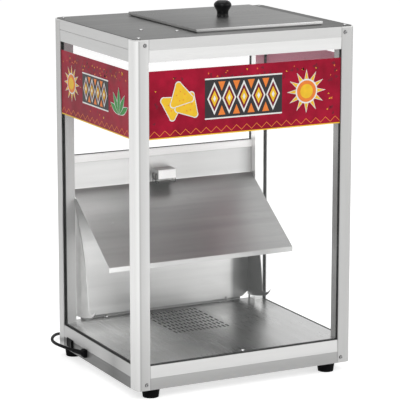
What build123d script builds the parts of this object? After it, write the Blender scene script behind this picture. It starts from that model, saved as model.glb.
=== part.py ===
from build123d import *
import math
import os

# Chip warmer: a glazed aluminium cabinet on four feet, loaded through a lid in its top and served
# through a flap in its back. Millimetres, +Z up, front towards -Y, origin on the standing surface
# under the middle of the frame.

# ---------------------------------------------------------------- driving dimensions

# frame
frame_width = 448.0
frame_depth = 360.0
frame_height = 642.0
post_size = 27.0
post_corner_radius = 8.0
post_wall = 3.0
bottom_rail_height = 45.3
bottom_flat_band = 21.6
bottom_groove = 0.5
top_rail_height = 41.3
top_flat_band = 18.5
top_groove = 1.1
rail_depth = 26.0
rail_wall = 2.0
bead_slope = 0.6
ledge_width = 6.0
floor_rise = 1.7
port_inset = 20.0
port_height = 10.5
port_radius = 5.0
corner_leg = 12.0
corner_thickness = 2.0

# glazing
glass_thickness = 4.0
glass_inset = 3.0
glass_bite = 6.0
gasket_wall = 1.2
gasket_show = 0.6
slot_clearance = 0.1
film_thickness = 0.8
film_bottom = 462.0
film_height = 122.5
film_side_gap = 1.0

# sheet metal
sheet = 1.0
panel_sheet = 1.2
top_overhang_gap = 1.5
top_corner_radius = 11.0
cap_thickness = 2.0
cap_plug_length = 12.0
lid_width = 262.0
lid_depth = 290.0
lid_height = 7.0
lid_centre_x = 45.0
lid_centre_y = -2.0
lid_play = 3.0
lid_rim_gap = 1.6
upstand_height = 5.7
running_gap = 0.3

# fasteners
screw_radius = 1.9
screw_head_radius = 3.7
screw_head_height = 2.0
screw_head_taper = 22.0
recess_length = 3.8
recess_width = 0.9
recess_depth = 1.0
hole_clearance = 0.3
rivet_radius = 1.6
rivet_head_radius = 2.8
rivet_head_height = 0.8
post_screw_length = 39.0
floor_screw_length = 8.0
pan_screw_length = 4.0
cover_screw_length = 7.0
lamp_screw_length = 6.0
stiffener_width = 18.0
stiffener_thickness = 2.0
stiffener_margin = 12.0
stiffener_x1, stiffener_y1 = -157.0, -64.0
stiffener_x2, stiffener_y2 = -105.0, -106.0

# knob
knob_offset_x = -3.0
knob_height = 31.0
knob_head_radius = 16.5
knob_neck_radius = 11.0
knob_base_radius = 11.8
knob_screw_radius = 2.5
knob_screw_head_radius = 5.0
knob_screw_head_height = 2.0
knob_screw_reach = 14.0

# feet
foot_height = 19.0
foot_top_radius = 17.2
foot_bottom_radius = 14.8
foot_bore_radius = 5.5
foot_seat = 8.0
front_foot_inset_x = 39.0
front_foot_inset_y = 24.0
foot_thread = 4.0

# floor and base
grille_columns = 14
grille_rows = 7
grille_pitch_x = 8.6
grille_pitch_y = 23.0
slot_length = 16.5
slot_width = 4.2
grille_centre_y = 71.5
floor_screw_inset = 13.3
floor_screw_x = 126.0
pan_inset = 4.0
pan_screw_inset = 23.0
pan_screw_x = 100.0
pan_screw_y = 90.0
door_rest_x1 = -167.0
door_rest_x2 = 139.0
door_rest_width = 4.0
door_rest_height = 9.0
door_rest_gap = 0.4

# rear wall
channel_bottom = 360.6
channel_height = 14.0
channel_front = 2.4
channel_back_wall = 1.5
panel_bottom = 308.9
panel_lip = 12.0
panel_return = 8.8
panel_boss_radius = 4.0
panel_boss_inset = 27.0

# baffle
baffle_side_gap = 0.6
baffle_front_y = -3.0
baffle_front_z = 189.7
baffle_lip = 9.0
baffle_flange = 11.0

# rear flap
hinge_barrel_radius = 2.5
hinge_pin_radius = 1.3
hinge_play = 0.08
hinge_axis_drop = 14.5
hinge_end_inset = 19.0
hinge_knuckles = 9
hinge_end_gap = 0.6
rivet_pitch = 80.0
rivet_count = 5
flap_side_gap = 6.0
flap_bottom = 52.5
flap_top_gap = 4.5
flap_chamfer_x = 14.0
flap_chamfer_z = 11.0
flap_grip = 9.0
flap_lip_gap = 0.5
cheek_depth = 62.0
cheek_waist_depth = 40.0
cheek_waist_drop = 108.0
cheek_brow_depth = 5.0
cheek_brow_drop = 26.0
cheek_radius = 237.5
cheek_heel_rise = 3.0
hook_reach = 95.0
hook_rise = 30.0
hook_root = 19.0

# lamp
lamp_centre_x = -5.0
lamp_width = 38.0
lamp_depth = 27.0
lamp_height = 18.5
lamp_top = 336.2
lamp_wall = 1.0
lamp_screw_offset = 12.5
cover_drop = 8.0
cover_wall = 2.0
cover_inset = 0.5
clip_wire_radius = 0.9
clip_stand = 2.2
bulb_radius = 5.0
bulb_length = 19.0
socket_length = 11.0
socket_size = 11.0

# heater
tray_width = 150.0
tray_depth = 172.0
tray_flange = 8.0
tray_height = 28.0
heater_radius = 3.2
heater_half_width = 48.0
heater_half_depth = 66.0
heater_passes = 4
heater_drop = 14.0
bracket_thickness = 1.5
bracket_spread = 45.0
thermostat_radius = 8.0
thermostat_height = 11.0
terminal_width = 34.0
terminal_depth = 18.0
terminal_height = 14.0
terminal_ways = 3
terminal_x = -133.0
thermostat_x = -30.0
lead_radius = 1.5
lead_exit_z = 36.0

# rocker switch on the left bottom rail
switch_y = 121.5
switch_z = 16.0
bezel_length = 30.0
bezel_height = 17.8
bezel_thickness = 1.6
switch_well_length = 26.6
switch_well_height = 13.2
switch_body_depth = 22.0
switch_wall = 1.2
rocker_valley = 1.2
rocker_rise = 1.5
rocker_tilt = 7.0
rocker_pivot_depth = 3.0
rocker_trunnion_radius = 1.3
rocker_side_gap = 0.4
rocker_end_gap = 1.1

# mains cord, its gland, coil and plug
gland_y = 48.0
gland_z = 15.5
gland_width = 13.0
gland_height = 15.0
gland_stand = 8.0
gland_neck_radius = 5.0
gland_neck_length = 16.0
sleeve_setback = 3.0
sleeve_length = 31.0
sleeve_direction = (-0.287, 0.958, 0.0)
sleeve_start_radius = 5.0
sleeve_end_radius = 3.8
cord_radius = 3.0
cord_route = (
    (-243.4, 107.0, 33.8),
    (-244.4, 131.0, 32.0),
    (-242.0, 157.0, 29.2),
    (-234.5, 188.0, 25.6),
    (-220.5, 220.0, 21.6),
    (-205.5, 246.0, 17.4),
    (-190.0, 270.0, 12.4),
    (-174.0, 290.0, 6.6),
    (-152.0, 301.0, 3.0),
    (-126.0, 302.0, 3.0),
)
coil_centre_x = -92.0
coil_centre_y = 262.0
coil_outer_radius = 40.0
coil_step = 4.0
coil_layer_rise = 6.6
coil_turns_in = 4
coil_turns_out = 5
tail_run = 22.0
tail_rise_run = 34.0
plug_radius = 17.5
plug_body_length = 32.0
plug_neck_length = 24.0
plug_neck_radius = 5.5
plug_pin_radius = 2.4
plug_pin_length = 19.0
plug_pin_spacing = 19.0

# ---------------------------------------------------------------- derived levels

half_w = frame_width / 2
half_d = frame_depth / 2
frame_bottom = foot_height
frame_top = frame_bottom + frame_height
bottom_rail_top = frame_bottom + bottom_rail_height
top_rail_bottom = frame_top - top_rail_height
inner_half_w = half_w - post_size
inner_half_d = half_d - post_size
floor_top = bottom_rail_top + floor_rise
floor_bottom = floor_top - sheet
roof_top = frame_top + sheet

glass_middle = glass_inset + glass_thickness / 2
slot_half = glass_thickness / 2 + gasket_wall + slot_clearance
slot_outer = glass_middle - slot_half
slot_inner = glass_middle + slot_half
slot_depth = glass_bite + gasket_wall + slot_clearance

rear_glass_y = half_d - glass_middle
front_foot_x = half_w - front_foot_inset_x
front_foot_y = half_d - front_foot_inset_y
baffle_half_width = inner_half_w - baffle_side_gap
flap_half_width = inner_half_w - flap_side_gap
hinge_half_length = inner_half_w - hinge_end_inset
panel_face_y = half_d - panel_return - 2 * panel_sheet
panel_back_y = panel_face_y + panel_sheet
panel_z0 = frame_bottom + panel_bottom
panel_z1 = frame_bottom + channel_bottom
hinge_y = panel_back_y + hinge_barrel_radius
hinge_z = panel_z0 - hinge_axis_drop
flap_z0 = frame_bottom + flap_bottom
flap_z1 = hinge_z - flap_top_gap
switch_level = frame_bottom + switch_z
gland_level = frame_bottom + gland_z


# ---------------------------------------------------------------- helpers


def block(low, high, mode=Mode.ADD):
    """A box from its lowest to its highest corner, added to the open part."""
    size = [b - a for a, b in zip(low, high)]
    middle = [(a + b) / 2 for a, b in zip(low, high)]
    with Locations(tuple(middle)):
        Box(*size, mode=mode)


def rod(start, direction, radius, length, mode=Mode.ADD):
    """A round bar from a point along a direction, added to the open part."""
    with BuildSketch(Plane(origin=start, z_dir=direction)) as disc:
        Circle(radius)
    extrude(disc.sketch, amount=length, mode=mode)


def pan_screws(seats, length):
    """Pan-head screws with crossed recesses; each seat is (point, outward direction)."""
    with BuildPart() as screws:
        for point, outward in seats:
            seat = Plane(origin=point, z_dir=outward)
            with BuildSketch(seat):
                Circle(screw_head_radius)
            extrude(amount=screw_head_height, taper=screw_head_taper)
            with BuildSketch(seat):
                Circle(screw_radius)
            extrude(amount=-length)
            with BuildSketch(seat.offset(screw_head_height)):
                Rectangle(recess_length, recess_width)
                Rectangle(recess_width, recess_length)
            extrude(amount=-recess_depth, mode=Mode.SUBTRACT)
    return screws.part


def rivets(points, direction, grip):
    """Rivets with a round head on both sides of a stack of sheets of the given thickness."""
    with BuildPart() as pins:
        for point in points:
            front = Plane(origin=point, z_dir=direction)
            with BuildSketch(front):
                Circle(rivet_radius)
            extrude(amount=-grip)
            with BuildSketch(front):
                Circle(rivet_head_radius)
            extrude(amount=rivet_head_height, taper=screw_head_taper)
            with BuildSketch(front.offset(-grip)):
                Circle(rivet_head_radius)
            extrude(amount=-rivet_head_height, taper=screw_head_taper)
    return pins.part


def placed(body, x, y, z, turn):
    """A copy of a body turned about Z and moved."""
    with BuildPart() as copy:
        with Locations(Location((x, y, z), (0, 0, turn))):
            add(body)
    return copy.part


def mirrored(body, plane):
    """A mirror copy of a body."""
    with BuildPart() as copy:
        mirror(objects=body, about=plane)
    return copy.part


def save(body, name):
    """Labels a finished piece and writes its file."""
    body.label = name
    export_step(body, f"parts/{name}.step")


# ---------------------------------------------------------------- frame posts

# The post's section has a rounded outer corner, a hollow core and one glazing slot in each of
# its two inner faces. The cap is let into the top of the post.
post_height = frame_height - cap_thickness
core_high = post_size - slot_depth - rail_wall
post_screw_heights = (frame_bottom + port_height, frame_top - port_height)
screw_hole = screw_radius + hole_clearance

with BuildPart() as post_front_left:
    with BuildSketch(Plane.XY.offset(frame_bottom)) as post_section:
        with Locations((-half_w, -half_d)):
            Rectangle(post_size, post_size, align=(Align.MIN, Align.MIN))
        fillet(post_section.vertices().sort_by(Axis.X)[:2].sort_by(Axis.Y)[0], post_corner_radius)
        with BuildSketch(mode=Mode.SUBTRACT) as core:
            with Locations((-half_w + post_wall, -half_d + post_wall)):
                Rectangle(core_high - post_wall, core_high - post_wall, align=(Align.MIN, Align.MIN))
            fillet(core.vertices().sort_by(Axis.X)[:2].sort_by(Axis.Y)[0], post_corner_radius - post_wall)
        with Locations((-inner_half_w - slot_depth, -half_d + slot_outer)):
            Rectangle(slot_depth, 2 * slot_half, align=(Align.MIN, Align.MIN), mode=Mode.SUBTRACT)
        with Locations((-half_w + slot_outer, -inner_half_d - slot_depth)):
            Rectangle(2 * slot_half, slot_depth, align=(Align.MIN, Align.MIN), mode=Mode.SUBTRACT)
    extrude(amount=post_height)
    for level in post_screw_heights:
        rod((-half_w + port_inset, -half_d, level), (0, 1, 0), screw_hole, post_size, Mode.SUBTRACT)

post_front_right = mirrored(post_front_left.part, Plane.YZ)

# A rear post also has a tapped hole in its foot for the foot's screw.
rear_foot_x = inner_half_w + (post_size - core_high) / 2
rear_foot_y = inner_half_d + (post_size - core_high) / 2
with BuildPart() as post_rear_left:
    mirror(objects=post_front_left.part, about=Plane.XZ)
    rod((-rear_foot_x, rear_foot_y, frame_bottom), (0, 0, 1), screw_radius, foot_thread, Mode.SUBTRACT)
post_rear_right = mirrored(post_rear_left.part, Plane.YZ)

# The lamp's lead runs down inside the rear left post.
lead_hole = lead_radius + hole_clearance
lead_y = panel_back_y + lead_radius + 2 * running_gap
lead_core_x = -half_w + (rail_wall + slot_inner) / 2
lamp_z1 = frame_bottom + lamp_top
socket_z = lamp_z1 - lamp_wall - socket_size / 2
wall_reach = slot_depth + rail_wall
with BuildPart() as post_rear_left_drilled:
    add(post_rear_left.part)
    rod((-inner_half_w, lead_y, socket_z), (-1, 0, 0), lead_hole, wall_reach, Mode.SUBTRACT)
    rod((lead_core_x, inner_half_d, lead_exit_z), (0, 1, 0), lead_hole, wall_reach, Mode.SUBTRACT)

save(post_front_left.part, "post_front_left")
save(post_front_right, "post_front_right")
save(post_rear_left_drilled.part, "post_rear_left")
save(post_rear_right, "post_rear_right")

# Each cap has a plate flush with the rails' tops and a plug that fills the post's core.
cap_screw_x = half_w - post_size / 2
cap_screw_y = half_d - post_size / 2
with BuildPart() as post_caps:
    with BuildSketch(Plane.XY.offset(frame_top - cap_thickness)) as cap_plate:
        with Locations((-half_w, -half_d)):
            Rectangle(post_size, post_size, align=(Align.MIN, Align.MIN))
        fillet(cap_plate.vertices().sort_by(Axis.X)[:2].sort_by(Axis.Y)[0], post_corner_radius)
    extrude(amount=cap_thickness)
    with BuildSketch(Plane.XY.offset(frame_top - cap_thickness)) as cap_plug:
        low = post_wall + slot_clearance
        side = core_high - post_wall - 2 * slot_clearance
        with Locations((-half_w + low, -half_d + low)):
            Rectangle(side, side, align=(Align.MIN, Align.MIN))
        fillet(cap_plug.vertices().sort_by(Axis.X)[:2].sort_by(Axis.Y)[0], post_corner_radius - post_wall)
    extrude(amount=-cap_plug_length)
    rod((-cap_screw_x, -cap_screw_y, frame_top), (0, 0, -1), screw_radius, cap_plug_length, Mode.SUBTRACT)
    mirror(about=Plane.YZ)
    mirror(about=Plane.XZ)
save(post_caps.part, "post_caps")

# ---------------------------------------------------------------- frame rails


def rail(length, height, flat_band, groove, ledge_top):
    """A rail along X, its outer face on the XZ plane, its glazing slot opening upwards."""
    slot_floor = height - slot_depth
    with BuildPart() as bar:
        with BuildSketch(Plane.YZ):
            with BuildLine():
                Polyline(
                    (0, 0),
                    (0, flat_band),
                    (groove, flat_band),
                    (groove, flat_band + groove),
                    (0, flat_band + groove),
                    (bead_slope, height),
                    (slot_outer, height),
                    (slot_outer, slot_floor),
                    (slot_inner, slot_floor),
                    (slot_inner, ledge_top),
                    (slot_inner + rail_wall + ledge_width, ledge_top),
                    (slot_inner + rail_wall + ledge_width, ledge_top - rail_wall),
                    (slot_inner + rail_wall, ledge_top - rail_wall),
                    (slot_inner + rail_wall, rail_wall),
                    (rail_depth, rail_wall),
                    (rail_depth, 0),
                    close=True,
                )
            make_face()
            with BuildLine(mode=Mode.PRIVATE) as hollow:
                Polyline(
                    (rail_wall, rail_wall),
                    (rail_wall, slot_floor - rail_wall),
                    (slot_inner, slot_floor - rail_wall),
                    (slot_inner, rail_wall),
                    close=True,
                )
            make_face(hollow.edges(), mode=Mode.SUBTRACT)
            with Locations((port_inset, port_height)):
                Circle(port_radius)
            rib_start = slot_inner + rail_wall
            with Locations((rib_start, port_height)):
                Rectangle(port_inset - rib_start, rail_wall, align=(Align.MIN, Align.CENTER))
            with Locations((port_inset, port_height)):
                Circle(screw_radius, mode=Mode.SUBTRACT)
        extrude(amount=length / 2, both=True)
    return bar.part


def upside_down(bar):
    """The same rail with its glazing slot opening downwards."""
    with BuildPart() as turned:
        mirror(objects=bar, about=Plane.XY)
    return turned.part


front_length = 2 * inner_half_w
side_length = 2 * inner_half_d
bottom_ledge = floor_bottom - frame_bottom
bottom_shape = (bottom_rail_height, bottom_flat_band, bottom_groove, bottom_ledge)
top_shape = (top_rail_height, top_flat_band, top_groove, top_rail_height)
bottom_front_bar = rail(front_length, *bottom_shape)
bottom_side_bar = rail(side_length, *bottom_shape)
top_front_bar = upside_down(rail(front_length, *top_shape))
top_side_bar = upside_down(rail(side_length, *top_shape))

floor_screw_places = (
    (0, -half_d + floor_screw_inset),
    (-floor_screw_x, half_d - floor_screw_inset),
    (floor_screw_x, half_d - floor_screw_inset),
)
pan_screw_places = (
    (-pan_screw_x, -half_d + pan_screw_inset),
    (pan_screw_x, -half_d + pan_screw_inset),
    (-pan_screw_x, half_d - pan_screw_inset),
    (pan_screw_x, half_d - pan_screw_inset),
    (-half_w + pan_screw_inset, -pan_screw_y),
    (half_w - pan_screw_inset, -pan_screw_y),
    (-half_w + pan_screw_inset, pan_screw_y),
    (half_w - pan_screw_inset, pan_screw_y),
)
front_feet = ((-front_foot_x, -front_foot_y), (front_foot_x, -front_foot_y))


def tapped(bar, x, y, turn, places, level, depth):
    """A bottom rail in its place, with tapped holes downwards from a level."""
    with BuildPart() as drilled:
        with Locations(Location((x, y, frame_bottom), (0, 0, turn))):
            add(bar)
        for px, py in places:
            rod((px, py, level), (0, 0, -1), screw_radius, depth, Mode.SUBTRACT)
    return drilled.part


with BuildPart() as bottom_rail_front:
    add(tapped(bottom_front_bar, 0, -half_d, 0, floor_screw_places[:1], floor_top, 2 * rail_wall))
    for px, py in pan_screw_places[:2]:
        rod((px, py, frame_bottom), (0, 0, 1), screw_radius, rail_wall, Mode.SUBTRACT)
    for px, py in front_feet:
        rod((px, py, frame_bottom), (0, 0, 1), screw_radius, rail_wall, Mode.SUBTRACT)

with BuildPart() as bottom_rail_rear:
    add(tapped(bottom_front_bar, 0, half_d, 180, floor_screw_places[1:], floor_top, 2 * rail_wall))
    for px, py in pan_screw_places[2:4]:
        rod((px, py, frame_bottom), (0, 0, 1), screw_radius, rail_wall, Mode.SUBTRACT)

with BuildPart() as bottom_rail_right:
    add(placed(bottom_side_bar, half_w, 0, frame_bottom, 90))
    for px, py in (pan_screw_places[5], pan_screw_places[7]):
        rod((px, py, frame_bottom), (0, 0, 1), screw_radius, rail_wall, Mode.SUBTRACT)

# The left rail also has a window for the switch and a hole for the cord's gland.
switch_cut_y = switch_well_length / 2 + switch_wall
switch_cut_z = switch_well_height / 2 + switch_wall
with BuildPart() as bottom_rail_left:
    add(placed(bottom_side_bar, -half_w, 0, frame_bottom, -90))
    for px, py in (pan_screw_places[4], pan_screw_places[6]):
        rod((px, py, frame_bottom), (0, 0, 1), screw_radius, rail_wall, Mode.SUBTRACT)
    block(
        (-half_w, switch_y - switch_cut_y, switch_level - switch_cut_z),
        (-half_w + rail_depth, switch_y + switch_cut_y, switch_level + switch_cut_z),
        Mode.SUBTRACT,
    )
    rod((-half_w, gland_y, gland_level), (1, 0, 0), gland_neck_radius, rail_depth, Mode.SUBTRACT)

save(bottom_rail_front.part, "bottom_rail_front")
save(bottom_rail_rear.part, "bottom_rail_rear")
save(bottom_rail_left.part, "bottom_rail_left")
save(bottom_rail_right.part, "bottom_rail_right")
save(placed(top_front_bar, 0, -half_d, frame_top, 0), "top_rail_front")
save(placed(top_front_bar, 0, half_d, frame_top, 180), "top_rail_rear")
save(placed(top_side_bar, -half_w, 0, frame_top, -90), "top_rail_left")
save(placed(top_side_bar, half_w, 0, frame_top, 90), "top_rail_right")

# Angle pieces behind the front and rear rails tie them to the posts' inner faces.
bracket_rise = port_height + port_radius + corner_thickness / 2
bracket_levels = (frame_bottom + bracket_rise, frame_top - bracket_rise - corner_leg)
bracket_y = half_d - slot_inner - rail_wall
with BuildPart() as corner_brackets:
    for level in bracket_levels:
        block(
            (-inner_half_w, -bracket_y, level),
            (-inner_half_w + corner_leg, -bracket_y + corner_thickness, level + corner_leg),
        )
        block(
            (-inner_half_w, -bracket_y, level),
            (-inner_half_w + corner_thickness, -bracket_y + corner_leg, level + corner_leg),
        )
    mirror(about=Plane.YZ)
    mirror(about=Plane.XZ)

# ---------------------------------------------------------------- glass, gaskets and printed films

pane_bottom = bottom_rail_top - glass_bite
pane_top = top_rail_bottom + glass_bite
rear_pane_bottom = panel_z1 + channel_height - glass_bite


def pane(half_width, bottom, top):
    """A glass pane across X, its middle plane on the XZ plane."""
    with BuildPart() as glass:
        block(
            (-half_width, -glass_thickness / 2, bottom),
            (half_width, glass_thickness / 2, top),
        )
        chamfer(glass.edges(), gasket_wall / 4)
    return glass.part


def gasket(half_width, bottom, top):
    """The rubber channel round a pane's edge, on the same middle plane."""
    thick = glass_thickness / 2 + gasket_wall
    lap = glass_bite + gasket_show
    with BuildPart() as rubber:
        block(
            (-half_width - gasket_wall, -thick, bottom - gasket_wall),
            (half_width + gasket_wall, thick, top + gasket_wall),
        )
        block(
            (-half_width + lap, -thick, bottom + lap),
            (half_width - lap, thick, top - glass_bite),
            Mode.SUBTRACT,
        )
        block(
            (-half_width, -glass_thickness / 2, bottom),
            (half_width, glass_thickness / 2, top),
            Mode.SUBTRACT,
        )
    return rubber.part


front_pane_half = inner_half_w + glass_bite
side_pane_half = inner_half_d + glass_bite
front_pane = pane(front_pane_half, pane_bottom, pane_top)
side_pane = pane(side_pane_half, pane_bottom, pane_top)
rear_pane = pane(front_pane_half, rear_pane_bottom, pane_top)
save(placed(front_pane, 0, -half_d + glass_middle, 0, 0), "glass_front")
save(placed(side_pane, -half_w + glass_middle, 0, 0, 90), "glass_left")
save(placed(side_pane, half_w - glass_middle, 0, 0, 90), "glass_right")
save(placed(rear_pane, 0, half_d - glass_middle, 0, 0), "glass_rear")

with BuildPart() as glazing_gaskets:
    with Locations((0, -half_d + glass_middle, 0)):
        add(gasket(front_pane_half, pane_bottom, pane_top))
    with Locations((0, half_d - glass_middle, 0)):
        add(gasket(front_pane_half, rear_pane_bottom, pane_top))
    side_gasket = gasket(side_pane_half, pane_bottom, pane_top)
    with Locations(
        Location((-half_w + glass_middle, 0, 0), (0, 0, 90)),
        Location((half_w - glass_middle, 0, 0), (0, 0, 90)),
    ):
        add(side_gasket)
save(glazing_gaskets.part, "glazing_gaskets")

# The printed films lie on the panes' outer faces, between the posts.
film_level = frame_bottom + film_bottom
film_outer = glass_inset - film_thickness
film_half_front = inner_half_w - film_side_gap
film_half_side = inner_half_d - film_side_gap
with BuildPart() as banner_front:
    block(
        (-film_half_front, -half_d + film_outer, film_level),
        (film_half_front, -half_d + film_outer + film_thickness, film_level + film_height),
    )
with BuildPart() as banner_left:
    block(
        (-half_w + film_outer, -film_half_side, film_level),
        (-half_w + film_outer + film_thickness, film_half_side, film_level + film_height),
    )
save(banner_front.part, "banner_front")
save(banner_left.part, "banner_left")
save(mirrored(banner_left.part, Plane.YZ), "banner_right")

# ---------------------------------------------------------------- top sheet, lid and knob

stiffener_screws = ((stiffener_x1, stiffener_y1), (stiffener_x2, stiffener_y2))
top_corner_screws = tuple((sx * cap_screw_x, sy * cap_screw_y) for sx in (-1, 1) for sy in (-1, 1))
upstand_width = lid_width - 2 * sheet - 2 * lid_play
upstand_depth = lid_depth - 2 * sheet - 2 * lid_play

with BuildPart() as top_panel:
    with BuildSketch(Plane.XY.offset(frame_top)):
        RectangleRounded(
            frame_width - 2 * top_overhang_gap,
            frame_depth - 2 * top_overhang_gap,
            top_corner_radius,
        )
    extrude(amount=sheet)
    with BuildSketch(Plane.XY.offset(roof_top)):
        with Locations((lid_centre_x, lid_centre_y)):
            Rectangle(upstand_width, upstand_depth)
    extrude(amount=upstand_height)
    with BuildSketch(Plane.XY.offset(frame_top)):
        with Locations((lid_centre_x, lid_centre_y)):
            Rectangle(upstand_width - 2 * sheet, upstand_depth - 2 * sheet)
    extrude(amount=sheet + upstand_height, mode=Mode.SUBTRACT)
    for px, py in top_corner_screws + stiffener_screws:
        rod((px, py, frame_top), (0, 0, 1), screw_hole, sheet, Mode.SUBTRACT)
save(top_panel.part, "top_panel")

lid_top = roof_top + lid_height
knob_x = lid_centre_x + knob_offset_x
lid_rim_bottom = roof_top + lid_rim_gap
with BuildPart() as lid:
    with BuildSketch(Plane.XY.offset(lid_rim_bottom)):
        with Locations((lid_centre_x, lid_centre_y)):
            RectangleRounded(lid_width, lid_depth, 2 * sheet)
    extrude(amount=lid_top - lid_rim_bottom)
    with BuildSketch(Plane.XY.offset(lid_rim_bottom)):
        with Locations((lid_centre_x, lid_centre_y)):
            Rectangle(lid_width - 2 * sheet, lid_depth - 2 * sheet)
    extrude(amount=lid_top - sheet - lid_rim_bottom, mode=Mode.SUBTRACT)
    fillet(lid.edges().group_by(Axis.Z)[-1], sheet * 0.8)
    rod((knob_x, lid_centre_y, lid_top), (0, 0, -1), knob_screw_radius, 2 * sheet, Mode.SUBTRACT)
save(lid.part, "lid")

with BuildPart() as lid_knob:
    with BuildSketch(Plane(origin=(knob_x, lid_centre_y, lid_top), x_dir=(1, 0, 0), z_dir=(0, -1, 0))):
        with BuildLine():
            base_line = Line((0, 0), (knob_base_radius, 0))
            neck = Spline(
                base_line @ 1,
                (knob_neck_radius, knob_height * 0.3),
                (knob_head_radius, knob_height * 0.66),
                tangents=((-0.3, 1), (0.35, 1)),
            )
            dome = Spline(
                neck @ 1,
                (knob_head_radius * 0.72, knob_height * 0.93),
                (0, knob_height),
                tangents=((0.35, 1), (-1, 0)),
            )
            Line(dome @ 1, (0, 0))
        make_face()
    revolve(axis=Axis((knob_x, lid_centre_y, 0), (0, 0, 1)))
    rod(
        (knob_x, lid_centre_y, lid_top),
        (0, 0, 1),
        knob_screw_radius,
        knob_screw_reach,
        Mode.SUBTRACT,
    )
save(lid_knob.part, "lid_knob")

with BuildPart() as lid_knob_screw:
    underside = lid_top - sheet
    rod((knob_x, lid_centre_y, underside), (0, 0, 1), knob_screw_radius, sheet + knob_screw_reach)
    rod(
        (knob_x, lid_centre_y, underside),
        (0, 0, -1),
        knob_screw_head_radius,
        knob_screw_head_height,
    )
save(lid_knob_screw.part, "lid_knob_screw")

# A strip under the top sheet, on the line between the two screws left of the lid.
strip_run = math.hypot(stiffener_x2 - stiffener_x1, stiffener_y2 - stiffener_y1)
strip_turn = math.degrees(math.atan2(stiffener_y2 - stiffener_y1, stiffener_x2 - stiffener_x1))
with BuildPart() as top_stiffener:
    with BuildSketch(Plane.XY.offset(frame_top)):
        with Locations(
            Location(
                ((stiffener_x1 + stiffener_x2) / 2, (stiffener_y1 + stiffener_y2) / 2),
                strip_turn,
            )
        ):
            Rectangle(strip_run + 2 * stiffener_margin, stiffener_width)
    extrude(amount=-stiffener_thickness)
    for px, py in stiffener_screws:
        rod((px, py, frame_top), (0, 0, -1), screw_radius, stiffener_thickness, Mode.SUBTRACT)
save(top_stiffener.part, "top_stiffener")

up, down = (0, 0, 1), (0, 0, -1)
post_screw_seats = [
    ((sx * (half_w - port_inset), sy * half_d, level), (0, sy, 0))
    for sx in (-1, 1)
    for sy in (-1, 1)
    for level in post_screw_heights
]
save(pan_screws(post_screw_seats, post_screw_length), "post_screws")
save(corner_brackets.part, "corner_brackets")

# ---------------------------------------------------------------- floor, base pan and feet

floor_gap = running_gap
floor_half_w = half_w - slot_inner - floor_gap
floor_half_d = half_d - slot_inner - floor_gap
notch_w = floor_half_w - inner_half_w + floor_gap
notch_d = floor_half_d - inner_half_d + floor_gap
door_rest_y = panel_face_y - door_rest_gap

with BuildPart() as floor_plate:
    with BuildSketch(Plane.XY.offset(floor_bottom)):
        Rectangle(2 * floor_half_w, 2 * floor_half_d)
        with GridLocations(2 * floor_half_w - notch_w, 2 * floor_half_d - notch_d, 2, 2):
            Rectangle(notch_w, notch_d, mode=Mode.SUBTRACT)
        with Locations((0, grille_centre_y)):
            with GridLocations(grille_pitch_x, grille_pitch_y, grille_columns, grille_rows):
                SlotOverall(slot_length, slot_width, rotation=90, mode=Mode.SUBTRACT)
        with Locations(*floor_screw_places):
            Circle(screw_hole, mode=Mode.SUBTRACT)
    extrude(amount=sheet)
    for x in (door_rest_x1, door_rest_x2):
        block(
            (x - door_rest_width / 2, door_rest_y - sheet, floor_bottom),
            (x + door_rest_width / 2, door_rest_y, floor_top + door_rest_height),
        )
save(floor_plate.part, "floor_plate")

pan_top = frame_bottom
pan_bottom = pan_top - sheet
rear_feet = ((-rear_foot_x, rear_foot_y), (rear_foot_x, rear_foot_y))
with BuildPart() as base_pan:
    with BuildSketch(Plane.XY.offset(pan_bottom)):
        RectangleRounded(frame_width - 2 * pan_inset, frame_depth - 2 * pan_inset, post_corner_radius)
        with Locations(*pan_screw_places, *front_feet, *rear_feet):
            Circle(screw_hole, mode=Mode.SUBTRACT)
    extrude(amount=sheet)
save(base_pan.part, "base_pan")

with BuildPart() as feet:
    for px, py in front_feet + rear_feet:
        with BuildSketch(Plane.XY) as sole:
            with Locations((px, py)):
                Circle(foot_bottom_radius)
        with BuildSketch(Plane.XY.offset(pan_bottom)) as seat:
            with Locations((px, py)):
                Circle(foot_top_radius)
        loft([sole.sketch, seat.sketch])
        rod((px, py, 0), (0, 0, 1), foot_bore_radius, foot_seat, Mode.SUBTRACT)
        rod((px, py, 0), (0, 0, 1), screw_hole, pan_bottom, Mode.SUBTRACT)
save(feet.part, "feet")

foot_screw_length = frame_bottom + foot_thread - foot_seat
foot_screw_seats = [((px, py, foot_seat), down) for px, py in front_feet + rear_feet]

# ---------------------------------------------------------------- rear wall

wall_half = inner_half_w - running_gap
channel_y0 = panel_face_y - channel_front
channel_y1 = rear_glass_y + slot_half + channel_back_wall
with BuildPart() as rear_channel:
    block((-wall_half, channel_y0, panel_z1), (wall_half, channel_y1, panel_z1 + channel_height))
    block(
        (-wall_half, rear_glass_y - slot_half, panel_z1 + channel_height - slot_depth),
        (wall_half, rear_glass_y + slot_half, panel_z1 + channel_height),
        Mode.SUBTRACT,
    )
    chamfer(rear_channel.edges().filter_by(Axis.X).group_by(Axis.Z)[-1], gasket_wall / 3)
save(rear_channel.part, "rear_channel")

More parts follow.
